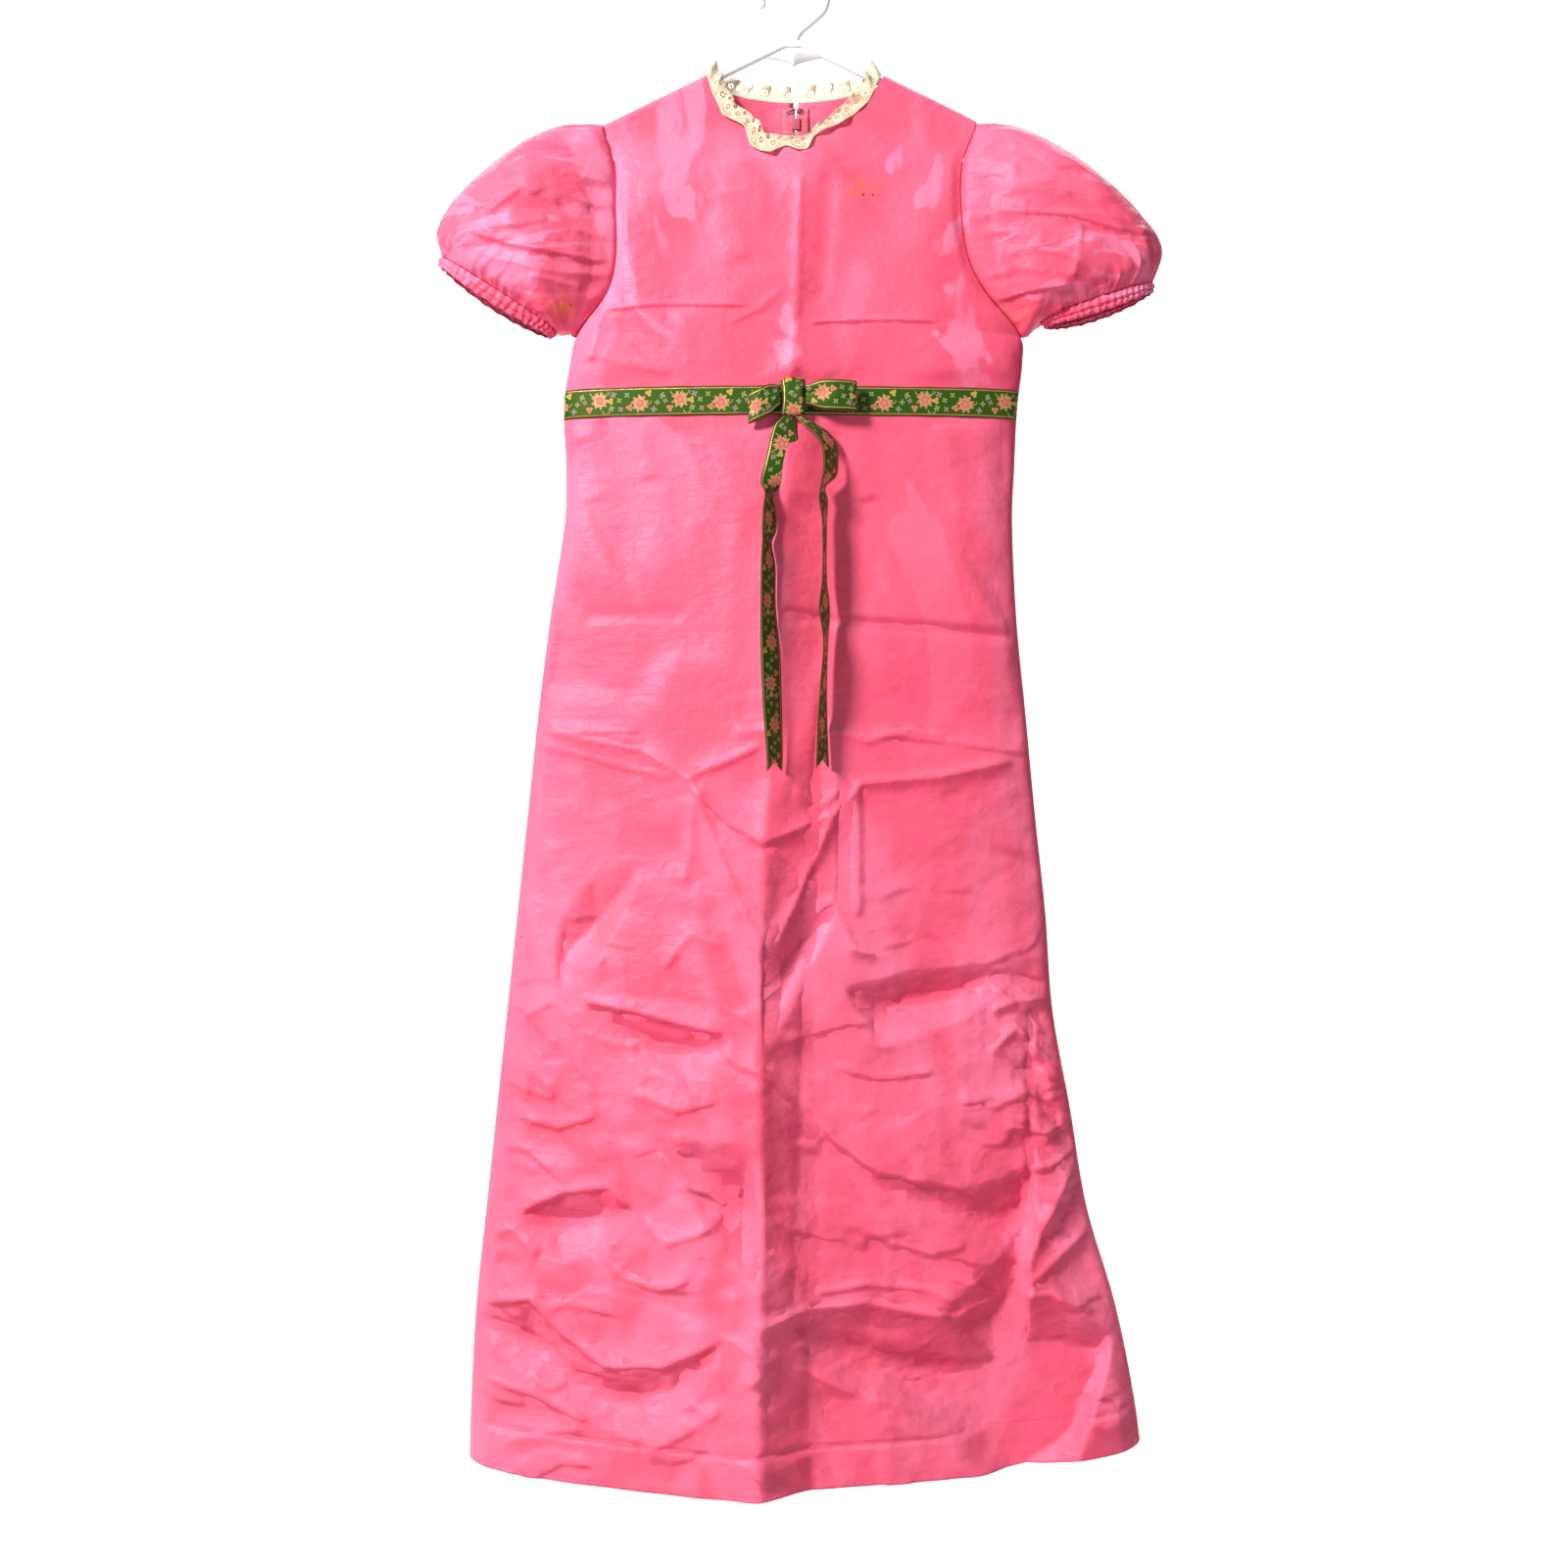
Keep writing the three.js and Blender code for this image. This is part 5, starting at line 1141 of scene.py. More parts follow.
def rounded(name, parts, bevel, place=(0, 0, 0), lean=0):
    """Boxes joined into one object, bevelled, then leaned about X and moved to their place."""
    points, faces = [], []
    for centre, size in parts:
        start = len(points)
        points += box_points(centre, size)
        faces += [tuple(start + k for k in face) for face in BOX_FACES]
    made = mesh_object(name, points, faces, [[(0, 0)] * 4 for _ in faces])
    add = made.modifiers.new("edges", "BEVEL")
    add.width, add.segments, add.limit_method = bevel, 3, "ANGLE"
    settle(made)
    turn = np.array([[1, 0, 0], [0, math.cos(lean), -math.sin(lean)], [0, math.sin(lean), math.cos(lean)]])
    move(made, turn, place)
    return made


def settle(made):
    """Puts an object's modifiers into its mesh."""
    mesh = bpy.data.meshes.new_from_object(made.evaluated_get(bpy.context.evaluated_depsgraph_get()))
    made.modifiers.clear()
    made.data = mesh


def move(made, turn, place):
    count = len(made.data.vertices)
    co = np.empty(count * 3)
    made.data.vertices.foreach_get("co", co)
    co = co.reshape(-1, 3) @ turn.T + np.array(place)
    made.data.vertices.foreach_set("co", co.ravel())
    made.data.update()


def back_y(x, z):
    return float(body_depth(BACK, np.asarray(x), np.asarray(z)) + SEAM / 2)


ZIP_TOP_Z, SLIDER_Z = -134 * MM, -149 * MM
# A tape runs from its gap at the centre line to its outer edge
TAPE_GAP, TAPE_EDGE, TAPE_THICK = 0.8 * MM, 13 * MM, 0.8 * MM
TAPE_BEHIND = 1.2 * MM + 2 * SEAM


def zip_strip(x1, x2, top, bottom, columns, rows, behind):
    x = CENTRE_BACK + np.linspace(x1, x2, columns)
    z = np.linspace(top, bottom, rows)
    grid = [[(px, back_y(px, pz) - behind, pz) for px in x] for pz in z]
    return np.array(grid)


for half in (-1, 1):
    side = side_name(half)
    strip = zip_strip(half * TAPE_GAP, half * TAPE_EDGE, ZIP_TOP_Z, ZIP_END_Z - 8 * MM, 5, 60, TAPE_BEHIND)
    pieces["zip_tape_" + side] = shell("zip_tape_" + side, strip, TAPE_THICK)

drop = 12 * MM
SLIDER_LEAN = math.atan2(back_y(CENTRE_BACK, SLIDER_Z - drop) - back_y(CENTRE_BACK, SLIDER_Z), drop)
SLIDER_PLACE = (CENTRE_BACK, back_y(CENTRE_BACK, SLIDER_Z), SLIDER_Z)


def mm(*values):
    return tuple(v * MM for v in values)


pieces["zip_slider"] = rounded("zip_slider", [
    (mm(0, 1.1, 0), mm(8, 1.2, 11)), (mm(0, -4.1, 0), mm(8, 1.2, 11)),
    (mm(0, -1.5, 4.3), mm(1.8, 5.4, 2.4)),
    (mm(-3.2, 3.4, 2.5), mm(1, 3.6, 4)), (mm(3.2, 3.4, 2.5), mm(1, 3.6, 4)),
], 0.35 * MM, SLIDER_PLACE, SLIDER_LEAN)
pieces["zip_pull"] = rounded("zip_pull", [
    (mm(0, 3.6, -0.4), mm(4.4, 1.2, 4.4)), (mm(-1.6, 3.6, -10.5), mm(1.2, 1.2, 17)),
    (mm(1.6, 3.6, -10.5), mm(1.2, 1.2, 17)), (mm(0, 3.6, -18.6), mm(4.4, 1.2, 6)),
    (mm(0, 3.6, 2.3), mm(4.6, 1.3, 1.4)),
], 0.3 * MM, SLIDER_PLACE, SLIDER_LEAN)

hook_y = back_y(CENTRE_BACK, ZIP_TOP_Z - 2 * MM) - TAPE_BEHIND - 2.4 * MM
hook_path = [(-8, 0, -139), (-3, 0, -138), (2, 0, -136.5),
             (2.4, -1, -136.4), (1, -2, -136.5), (-3, -2, -137.5)]
eye_path = [(9, 0, -138.5), (5, 0, -139.3), (3.4, -0.3, -138.3),
            (3.6, -0.4, -137.2), (5, 0, -135.6), (9, 0, -136.2)]
for name, path in (("neck_hook", hook_path), ("neck_eye", eye_path)):
    pieces[name] = tube(name, [(x * MM, hook_y + y * MM, z * MM) for x, y, z in path], 0.5 * MM)

# The hanger: sloping arms, a hook and a thin web under the apex, joined into one moulding
TUBE_RADIUS = 4.2 * MM
HOOK_RADIUS = 32 * MM
ARM_REACH = 198 * MM


def arm_z(x):
    return float(shoulder_line(np.asarray(x))) - 6.5 * MM * math.hypot(1, SHOULDER_FALL)


APEX_Z = arm_z(0) - 5 * MM
arm = [(t * ARM_REACH, 0, arm_z(t * ARM_REACH)) for t in (-1, -0.8, -0.6, -0.4, -0.22, -0.1, -0.04)]
arms = tube("arms", arm + [(0, 0, APEX_Z)] + [(-x, y, z) for x, y, z in reversed(arm)], TUBE_RADIUS, 24)
arc = []
for degrees in range(196, -41, -12):
    a = math.radians(degrees)
    arc.append((HOOK_RADIUS * math.cos(a), 0, TUBE_RADIUS - HOOK_RADIUS + HOOK_RADIUS * math.sin(a)))
stem = [(11 * MM, 0, -58 * MM), (2 * MM, 0, -66 * MM), (0, 0, APEX_Z - MM)]
hook = tube("hook", arc + stem, TUBE_RADIUS, 24)


def ball(name, place, radius):
    bpy.ops.mesh.primitive_uv_sphere_add(segments=24, ring_count=12, radius=radius, location=place)
    made = bpy.context.object
    made.name = name
    bpy.ops.object.transform_apply(location=True)
    bpy.ops.object.shade_smooth()
    return made


ends = [ball("end", place, TUBE_RADIUS) for place in (arm[0], (-arm[0][0], 0, arm[0][2]), arc[0])]


def web_piece():
    """The web fills the corner under the apex, with a small cusp and a notch on each side."""
    edge = []
    for k in range(-24, 25):
        x = k / 24 * 34 * MM
        s = abs(x) / (34 * MM)
        low = lerp(arm_z(0) - 26 * MM, arm_z(34 * MM), s ** 0.62)
        edge.append((x, low))
    top = [(x, arm_z(x) + 0.5 * MM if abs(x) > 4 * MM else APEX_Z) for x, _ in edge]
    points, faces = [], []
    for y in (-1.6 * MM, 1.6 * MM):
        points += [(x, y, z) for x, z in edge] + [(x, y, z) for x, z in top]
    n = len(edge)
    for k in range(n - 1):
        faces.append((k, k + 1, n + k + 1, n + k))
        faces.append((2 * n + k, 3 * n + k, 3 * n + k + 1, 2 * n + k + 1))
        faces.append((k, 2 * n + k, 2 * n + k + 1, k + 1))
    return mesh_object("web", points, faces, [[(0, 0)] * 4 for _ in faces])


def join(name, objects):
    bpy.ops.object.select_all(action="DESELECT")
    for made in objects:
        made.select_set(True)
    bpy.context.view_layer.objects.active = objects[0]
    bpy.ops.object.join()
    objects[0].name = name
    return objects[0]


pieces["hanger"] = join("hanger", [arms, hook, web_piece(), *ends])


# ---- materials ----

class Value:
    """A number worked out by a material's nodes, so that its formulas read as plain arithmetic."""

    def __init__(self, tree, socket):
        self.tree, self.socket = tree, socket

    def math(self, operation, *others):
        node = self.tree.nodes.new("ShaderNodeMath")
        node.operation = operation
        for place, given in enumerate((self, *others)):
            if isinstance(given, Value):
                self.tree.links.new(given.socket, node.inputs[place])
            else:
                node.inputs[place].default_value = given
        return Value(self.tree, node.outputs[0])

    def __add__(self, other):
        return self.math("ADD", other)

    def __sub__(self, other):
        return self.math("SUBTRACT", other)

    def __mul__(self, other):
        return self.math("MULTIPLY", other)

    def __truediv__(self, other):
        return self.math("DIVIDE", other)

    def __mod__(self, other):
        return self.math("FLOORED_MODULO", other)

    def abs(self):
        return self.math("ABSOLUTE")

    def sin(self):
        return self.math("SINE")

    def over(self, low, soft):
        """0 below "low", 1 above it, with a soft step of the given width."""
        node = self.tree.nodes.new("ShaderNodeMapRange")
        node.interpolation_type = "SMOOTHSTEP"
        self.tree.links.new(self.socket, node.inputs["Value"])
        node.inputs["From Min"].default_value = low
        node.inputs["From Max"].default_value = low + soft
        return Value(self.tree, node.outputs["Result"])

    def under(self, high, soft):
        return (self * -1).over(-high, soft)


def at_most(a, b):
    return a.math("MINIMUM", b)


def at_least(a, b):
    return a.math("MAXIMUM", b)


def shading(name, roughness):
    """A material, its tree and its one shader."""
    made = bpy.data.materials.new(name)
    made.use_nodes = True
    shader = made.node_tree.nodes["Principled BSDF"]
    shader.inputs["Roughness"].default_value = roughness
    return made, made.node_tree, shader


def plain_material(name, colour, roughness, metallic=0.0):
    made, _, shader = shading(name, roughness)
    shader.inputs["Base Color"].default_value = (*colour, 1)
    shader.inputs["Metallic"].default_value = metallic
    return made


def mixed(tree, share, first, second):
    """A colour between two, each a triple or a socket. share is a Value."""
    node = tree.nodes.new("ShaderNodeMix")
    node.data_type = "RGBA"
    tree.links.new(share.socket, node.inputs["Factor"])
    for name, given in (("A", first), ("B", second)):
        socket = next(s for s in node.inputs if s.name == name and s.type == "RGBA")
        if isinstance(given, tuple):
            socket.default_value = (*given, 1)
        else:
            tree.links.new(given, socket)
    return next(s for s in node.outputs if s.type == "RGBA")


def place_in(tree, kind="Object"):
    node = tree.nodes.new("ShaderNodeTexCoord")
    return node.outputs[kind]


def read(tree, attribute):
    node = tree.nodes.new("ShaderNodeAttribute")
    node.attribute_name = attribute
    return Value(tree, node.outputs["Fac"])


def stretched(tree, vector, scale, shift=(0, 0, 0)):
    node = tree.nodes.new("ShaderNodeMapping")
    tree.links.new(vector, node.inputs["Vector"])
    node.inputs["Scale"].default_value = scale
    node.inputs["Location"].default_value = shift
    return node.outputs[0]


def grain(tree, vector, scale, detail=2.0, kind="FBM", distortion=0.0):
    node = tree.nodes.new("ShaderNodeTexNoise")
    node.noise_type = kind
    node.normalize = True
    tree.links.new(vector, node.inputs["Vector"])
    node.inputs["Scale"].default_value = scale
    node.inputs["Detail"].default_value = detail
    node.inputs["Distortion"].default_value = distortion
    return Value(tree, node.outputs[0])


def split(tree, vector):
    node = tree.nodes.new("ShaderNodeSeparateXYZ")
    tree.links.new(vector, node.inputs[0])
    return [Value(tree, socket) for socket in node.outputs]


def bumped(tree, shader, height, distance, strength=1.0):
    node = tree.nodes.new("ShaderNodeBump")
    node.inputs["Distance"].default_value = distance
    node.inputs["Strength"].default_value = strength
    tree.links.new(height.socket, node.inputs["Height"])
    tree.links.new(node.outputs[0], shader.inputs["Normal"])


def spot_mask(x, z, at, reach):
    """1 inside a round spot in the plane of the front, fading out at its edge."""
    dx, dz = x - at[0], z - at[1]
    away = (dx * dx + dz * dz).math("SQRT")
    return away.under(reach, reach * 0.8)


def cells(tree, vector, scale, stretch):
    """Rounded cells with crisp ridges between them, as in crushed cloth."""
    warp = tree.nodes.new("ShaderNodeTexNoise")
    warp.inputs["Scale"].default_value = scale * 0.7
    tree.links.new(vector, warp.inputs["Vector"])
    moved = tree.nodes.new("ShaderNodeVectorMath")
    moved.operation = "MULTIPLY_ADD"
    tree.links.new(warp.outputs["Color"], moved.inputs[0])
    moved.inputs[1].default_value = (0.8 / scale,) * 3
    tree.links.new(vector, moved.inputs[2])
    node = tree.nodes.new("ShaderNodeTexVoronoi")
    node.feature = "F1"
    node.inputs["Scale"].default_value = scale
    tree.links.new(stretched(tree, moved.outputs[0], stretch), node.inputs["Vector"])
    return Value(tree, node.outputs["Distance"])


def give_sockets(tree, inputs, outputs):
    """The named inputs and outputs of a node group, with the kind of each."""
    for direction, wanted in (("INPUT", inputs), ("OUTPUT", outputs)):
        for label, kind in wanted.items():
            tree.interface.new_socket(label, in_out=direction, socket_type="NodeSocket" + kind)


def weave_group():
    """Threads both ways, thicker and thinner by turns, for each woven material with its own counts."""
    tree = bpy.data.node_groups.new("weave", "ShaderNodeTree")
    give_sockets(tree, {"Place": "Vector", "Warp Threads": "Vector", "Weft Threads": "Vector",
                        "Slubs": "Float"}, {"Weft": "Float", "Warp": "Float", "Height": "Float"})
    given, result = tree.nodes.new("NodeGroupInput"), tree.nodes.new("NodeGroupOutput")

    def threads(label, detail):
        counts = tree.nodes.new("ShaderNodeVectorMath")
        counts.operation = "MULTIPLY"
        tree.links.new(given.outputs["Place"], counts.inputs[0])
        tree.links.new(given.outputs[label], counts.inputs[1])
        return grain(tree, counts.outputs[0], 1.0, detail)

    warp, weft = threads("Warp Threads", 1.0), threads("Weft Threads", 2.0)
    slub = grain(tree, stretched(tree, given.outputs["Place"], (25, 25, 420)), 1.0, 3.0)
    height = warp * 0.5 + weft * 0.5 + slub * Value(tree, given.outputs["Slubs"])
    for label, value in (("Warp", warp), ("Weft", weft), ("Height", height)):
        tree.links.new(value.socket, result.inputs[label])
    return tree


WEAVE = weave_group()


def woven(tree, place, warp_threads, weft_threads, slubs=0.0):
    """The weave in a material: the weft's and the warp's thickness, and the height of both."""
    node = tree.nodes.new("ShaderNodeGroup")
    node.node_tree = WEAVE
    tree.links.new(place, node.inputs["Place"])
    node.inputs["Warp Threads"].default_value = warp_threads
    node.inputs["Weft Threads"].default_value = weft_threads
    node.inputs["Slubs"].default_value = slubs
    return [Value(tree, node.outputs[label]) for label in ("Weft", "Warp", "Height")]


# Painted highlights: spots where the bodice catches the most light, painted paler into the taffeta's
# colour, in the plane of the front
PAINTED_HIGHLIGHT_SPOTS = [
    (mm(-127, -224), 46 * MM), (mm(-40, -235), 36 * MM), (mm(-32, -305), 40 * MM), (mm(-30, -372), 40 * MM),
    (mm(92, -212), 38 * MM), (mm(116, -268), 44 * MM), (mm(122, -338), 46 * MM), (mm(160, -390), 36 * MM),
]

# Stains on the front: place, reach, strength and colour
STAINS = [
    (mm(60, -222), 17 * MM, 0.6, (0.82, 0.16, 0.05)), (mm(79, -220), 11 * MM, 0.7, (0.80, 0.14, 0.04)),
    (mm(66.5, -227.5), 2.2 * MM, 0.9, (0.12, 0.03, 0.03)),
    (mm(76, -227.5), 1.8 * MM, 0.9, (0.12, 0.03, 0.03)),
    (mm(81, -227), 1.5 * MM, 0.8, (0.25, 0.06, 0.04)), (mm(-222, -334), 16 * MM, 0.7, (0.83, 0.2, 0.05)),
    (mm(-214, -334), 1.6 * MM, 0.9, (0.15, 0.03, 0.03)), (mm(-262, -940), 1.8 * MM, 0.8, (0.2, 0.04, 0.04)),
    (mm(-180, -925), 40 * MM, 0.25, (0.8, 0.13, 0.07)), (mm(215, -338), 22 * MM, 0.3, (0.85, 0.2, 0.08)),
]


def taffeta_material():
    made, tree, shader = shading("taffeta", 0.43)
    place = place_in(tree)
    x, y, z = split(tree, place)
    low = (z * -1).over(0.66, 0.5)
    weft, _, threads = woven(tree, place, (900, 900, 45), (60, 60, 1100), 0.8)
    fine = grain(tree, stretched(tree, place, (1, 1, 1.5)), 42, 2.0, "RIDGED_MULTIFRACTAL", 0.4)
    calm = grain(tree, stretched(tree, place, (1, 1, 1), (5, 2, 9)), 9.0, 1.0).over(0.42, 0.2)
    crushed = grain(tree, stretched(tree, place, (1, 1, 1.3), (1, 7, 3)), 95, 3.0)
    height = threads * 0.065 + crushed * 0.22 + fine * (low * 0.17 + 0.15)
    height = height + cells(tree, place, 21, (1, 1, 1.7)) * (low * 0.35 + 0.15)
    height = height + cells(tree, place, 13, (1.3, 1.3, 0.6)) * (low * -0.35 + 0.5)
    height = height + cells(tree, place, 47, (1, 1, 1.5)) * (low * 0.28 + 0.08) * calm
    bumped(tree, shader, height, 5.0 * MM)
    shot = grain(tree, stretched(tree, place, (1.7, 1.7, 0.75), (0.3, 0, 0.1)), 5.2, 3.0, "FBM", 0.5)
    # Painted sheen: paler patches in the colour that stand for the satin's highlights, strongest on the
    # bodice and round the highlight spots
    painted_sheen = grain(tree, stretched(tree, place, (1, 1, 0.45), (0.7, 0, 0.4)), 8.0, 4.0, "FBM", 0.9)
    upper = (z * -1).under(0.62, 0.3)
    base = mixed(tree, shot.over(0.48, 0.16) * 0.6, (0.93, 0.112, 0.20), (0.96, 0.20, 0.35))
    ragged = stretched(tree, place, (1, 1, 0.8), (0.2, 0, 0.6))
    along = x + (grain(tree, ragged, 11, 3.0, "FBM", 0.6) - 0.5) * (220 * MM)
    down = z + (grain(tree, ragged, 8.3, 3.0, "FBM", 0.6) - 0.5) * (320 * MM)
    for at, reach in PAINTED_HIGHLIGHT_SPOTS:
        painted_sheen = painted_sheen + spot_mask(along, down, at, reach) * 0.14
    painted_sheen = painted_sheen - upper * 0.05
    base = mixed(tree, painted_sheen.over(0.53, 0.045) * (upper * 0.5 + 0.14), base, (0.98, 0.27, 0.46))
    # Painted sheen and shade on the sleeves: paler streaks stand for highlights, darker streaks for the
    # shade in their folds
    puff = x.abs().over(190 * MM, 15 * MM) * (z * -1).under(360 * MM, 20 * MM)
    painted_sleeve_streaks = grain(tree, stretched(tree, place, (0.6, 1, 1.6)), 17, 3.0, "FBM", 1.1)
    base = mixed(tree, puff * painted_sleeve_streaks.over(0.53, 0.06) * 0.6, base, (0.98, 0.28, 0.48))
    base = mixed(tree, puff * painted_sleeve_streaks.under(0.43, 0.06) * 0.4, base, (0.74, 0.05, 0.12))
    # Painted shade and light by slope: darker where the cloth faces down or away from the key lamp, paler
    # where it faces up towards it
    tilt = read(tree, "tilt")
    base = mixed(tree, tilt.under(0.47, 0.26) * 0.55, base, (0.55, 0.025, 0.085))
    base = mixed(tree, tilt.over(0.54, 0.30) * 0.35, base, (0.97, 0.24, 0.41))
    base = mixed(tree, (weft - 0.5).abs() * 0.25, base, (0.8, 0.09, 0.16))
    halo = grain(tree, place, 90, 2.0)
    for at, reach, share, colour in STAINS:
        mask = spot_mask(x, z, at, reach) * share * (y * -1).over(0.0, 0.002)
        if reach > 5 * MM:
            mask = mask * halo.over(0.38, 0.2)
        base = mixed(tree, mask, base, colour)
    tree.links.new(base, shader.inputs["Base Color"])
    shader.inputs["Specular IOR Level"].default_value = 0.4
    shader.inputs["Specular Tint"].default_value = (1.0, 0.42, 0.6, 1)
    shader.inputs["Sheen Weight"].default_value = 0.05
    shader.inputs["Sheen Roughness"].default_value = 0.35
    shader.inputs["Sheen Tint"].default_value = (1.0, 0.55, 0.85, 1)
    return made


def flower(u, v, at, reach, petals, depth, turn=0.0):
    """The mask of a flower with rounded petals, and the distance from its middle."""
    du, dv = u - at[0] * MM, v - at[1] * MM
    away = (du * du + dv * dv).math("SQRT")
    angle = dv.math("ARCTAN2", du) * petals + turn
    edge = angle.sin() * (depth * MM) + reach * MM
    return (edge - away).over(-0.1 * MM, 0.35 * MM), away, angle


MOTIF_REPEAT = 78 * MM


def ribbon_material(name, wrong_side=False):
    """A woven band of roses, small star flowers and buds between gold lines, repeated along its length."""
    made, tree, shader = shading(name, 0.45)
    pattern_uv = place_in(tree, "UV")
    u, v, _ = split(tree, pattern_uv)
    u = (u + 2.0) % MOTIF_REPEAT
    thread, cross_thread, threads = woven(tree, pattern_uv, (500, 3000, 1), (2600, 700, 1))
    base = mixed(tree, thread.over(0.35, 0.3), (0.012, 0.045, 0.003), (0.03, 0.115, 0.006))
    gold, rose = (0.62, 0.44, 0.16), (0.54, 0.14, 0.10)
    lilac, pale = (0.28, 0.20, 0.18), (0.26, 0.28, 0.12)
    glints = []
    stars = [((33, 7), 2.5, lilac), ((38.5, 12.5), 2.1, pale),
             ((31, 20), 2.4, pale), ((40, 21), 2.2, lilac),
             ((2, 8.5), 2.6, pale), ((72, 21.5), 2.4, lilac), ((75.5, 15), 2.1, pale),
             ((5, 13.5), 2.0, lilac),
             ((46, 7.5), 2.1, pale), ((28, 5.5), 1.4, pale)]
    for at, reach, colour in stars:
        mask, away, _ = flower(u, v, at, reach, 4, 0.85, at[0] * 0.1)
        base = mixed(tree, mask, base, colour)
        base = mixed(tree, away.under(0.7 * MM, 0.4 * MM), base, (0.12, 0.07, 0.05))
    buds = [((9.5, 20.5), rose), ((48.5, 19.5), rose),
            ((67, 6), (0.50, 0.31, 0.07)), ((30, 13), (0.48, 0.29, 0.07))]
    for at, colour in buds:
        mask, away, _ = flower(u, v, at, 2.9, 3, 0.7, at[0])
        base = mixed(tree, mask, base, colour)
        base = mixed(tree, mask * away.over(1.7 * MM, 0.6 * MM) * thread.over(0.5, 0.1), base, gold)
    tendrils = [((14, 4), 3.4, 4.3), ((54, 25), 3.2, 4.1), ((26, 22), 3.0, 3.9), ((66, 13), 3.2, 4.0)]
    for at, low, high in tendrils:
        _, away, angle = flower(u, v, at, 3, 1, 0)
        ring = away.over(low * MM, 0.3 * MM) * away.under(high * MM, 0.3 * MM) * angle.sin().over(-0.1, 0.3)
        base = mixed(tree, ring, base, gold)
    for at in ((19.5, 12.3), (58.5, 15.8)):
        mask, away, angle = flower(u, v, at, 6.4, 5, 1.1, at[0])
        leaves, _, _ = flower(u, v, at, 7.0, 9, 1.9, at[0] * 2)
        base = mixed(tree, leaves * thread.over(0.42, 0.1), base, gold)
        base = mixed(tree, mask, base, rose)
        rings = (away * 1500 + angle.sin() * 1.4).sin()
        base = mixed(tree, mask * rings.over(0.1, 0.7) * 0.75, base, (0.72, 0.27, 0.19))
        base = mixed(tree, mask * rings.under(-0.75, 0.3) * 0.7, base, (0.3, 0.05, 0.05))
        glint = mask * cross_thread.over(0.57, 0.06) * away.over(2.5 * MM, 2 * MM)
        base = mixed(tree, glint, base, (0.85, 0.58, 0.28))
        glints.append(glint)
    from_edge = at_most(v, (v * -1) + RIBBON_WIDTH)
    base = mixed(tree, from_edge.under(2.9 * MM, 0.2 * MM), base, (0.05, 0.10, 0.015))
    line = from_edge.over(1.5 * MM, 0.15 * MM) * from_edge.under(2.3 * MM, 0.15 * MM)
    dashes = (u * (2 * math.pi / (2.2 * MM))).sin().over(-0.9, 0.4)
    base = mixed(tree, line * dashes, base, (0.75, 0.6, 0.2))
    base = mixed(tree, from_edge.under(1.3 * MM, 0.2 * MM), base, (0.13, 0.05, 0.02))
    if wrong_side:
        floats = grain(tree, stretched(tree, pattern_uv, (2200, 160, 1)), 1.0, 2.0)
        base = mixed(tree, floats.over(0.3, 0.5) * 0.75, base, (0.24, 0.15, 0.07))
    tree.links.new(base, shader.inputs["Base Color"])
    metal = line * dashes
    for glint in glints:
        metal = at_least(metal, glint)
    tree.links.new((metal * 0.7).socket, shader.inputs["Metallic"])
    bumped(tree, shader, threads, 0.35 * MM, 0.8)
    shader.inputs["Specular IOR Level"].default_value = 0.25
    shader.inputs["Specular Tint"].default_value = (1.0, 0.9, 0.4, 1)
    return made


def lace_material():
    """Cotton lace: a net of small holes, a row of ring flowers, and a scalloped picot edge."""
    made, tree, shader = shading("lace", 0.85)
    u, v, _ = split(tree, place_in(tree, "UV"))
    width = LACE_WIDTH
    pitch = 12.2 * MM
    cell = (u % pitch) - pitch / 2
    middle = v - width * 0.52
    away = (cell * cell + middle * middle).math("SQRT")
    angle = middle.math("ARCTAN2", cell)
    petals = (angle * 6).sin() * (0.5 * MM) + 3.1 * MM
    ring_hole = away.over(1.0 * MM, 0.2 * MM) * (petals - away).over(0.5 * MM, 0.25 * MM)
    ring_hole = ring_hole * (angle * 6).sin().over(-0.4, 0.5)
    net_u = (u * (2 * math.pi / (1.7 * MM))).sin()
    net_v = (v * (2 * math.pi / (1.7 * MM))).sin()
    net = (net_u * net_v).over(0.42, 0.2)
    solid_ring = away.over(2.9 * MM, 0.2 * MM) * away.under(4.5 * MM, 0.3 * MM)
    heading = v.under(1.6 * MM, 0.2 * MM)
    half_step = ((u + pitch / 2) % pitch) - pitch / 2
    spray = (half_step * half_step + (v - width * 0.8) * (v - width * 0.8)).math("SQRT")
    spray_hole = spray.over(0.7 * MM, 0.2 * MM) * spray.under(2.0 * MM, 0.2 * MM)
    inside = away.under(4.5 * MM, 0.1 * MM)
    holes = at_least(ring_hole, net * (inside * -1 + 1))
    holes = at_least(holes, spray_hole)
    cloth = at_least(at_least(solid_ring, heading), holes * -1 + 1)
    edge = (u * (math.pi / (24 * MM))).sin().abs() * (1.3 * MM)
    picot = (u * (2 * math.pi / (1.5 * MM))).sin() * (0.45 * MM)
    keep = (edge + picot - v + width - 1.7 * MM).over(0.0, 0.15 * MM)
    tree.links.new((cloth * keep).over(0.45, 0.1).socket, shader.inputs["Alpha"])
    shade = grain(tree, place_in(tree), 260, 2.0)
    colour = mixed(tree, shade.over(0.3, 0.4), (0.80, 0.64, 0.40), (0.92, 0.83, 0.62))
    tree.links.new(colour, shader.inputs["Base Color"])
    thread = grain(tree, stretched(tree, place_in(tree, "UV"), (900, 900, 1)), 1.0, 1.0)
    bumped(tree, shader, thread + cloth * 0.8, 0.5 * MM)
    made.surface_render_method = "DITHERED"
    return made


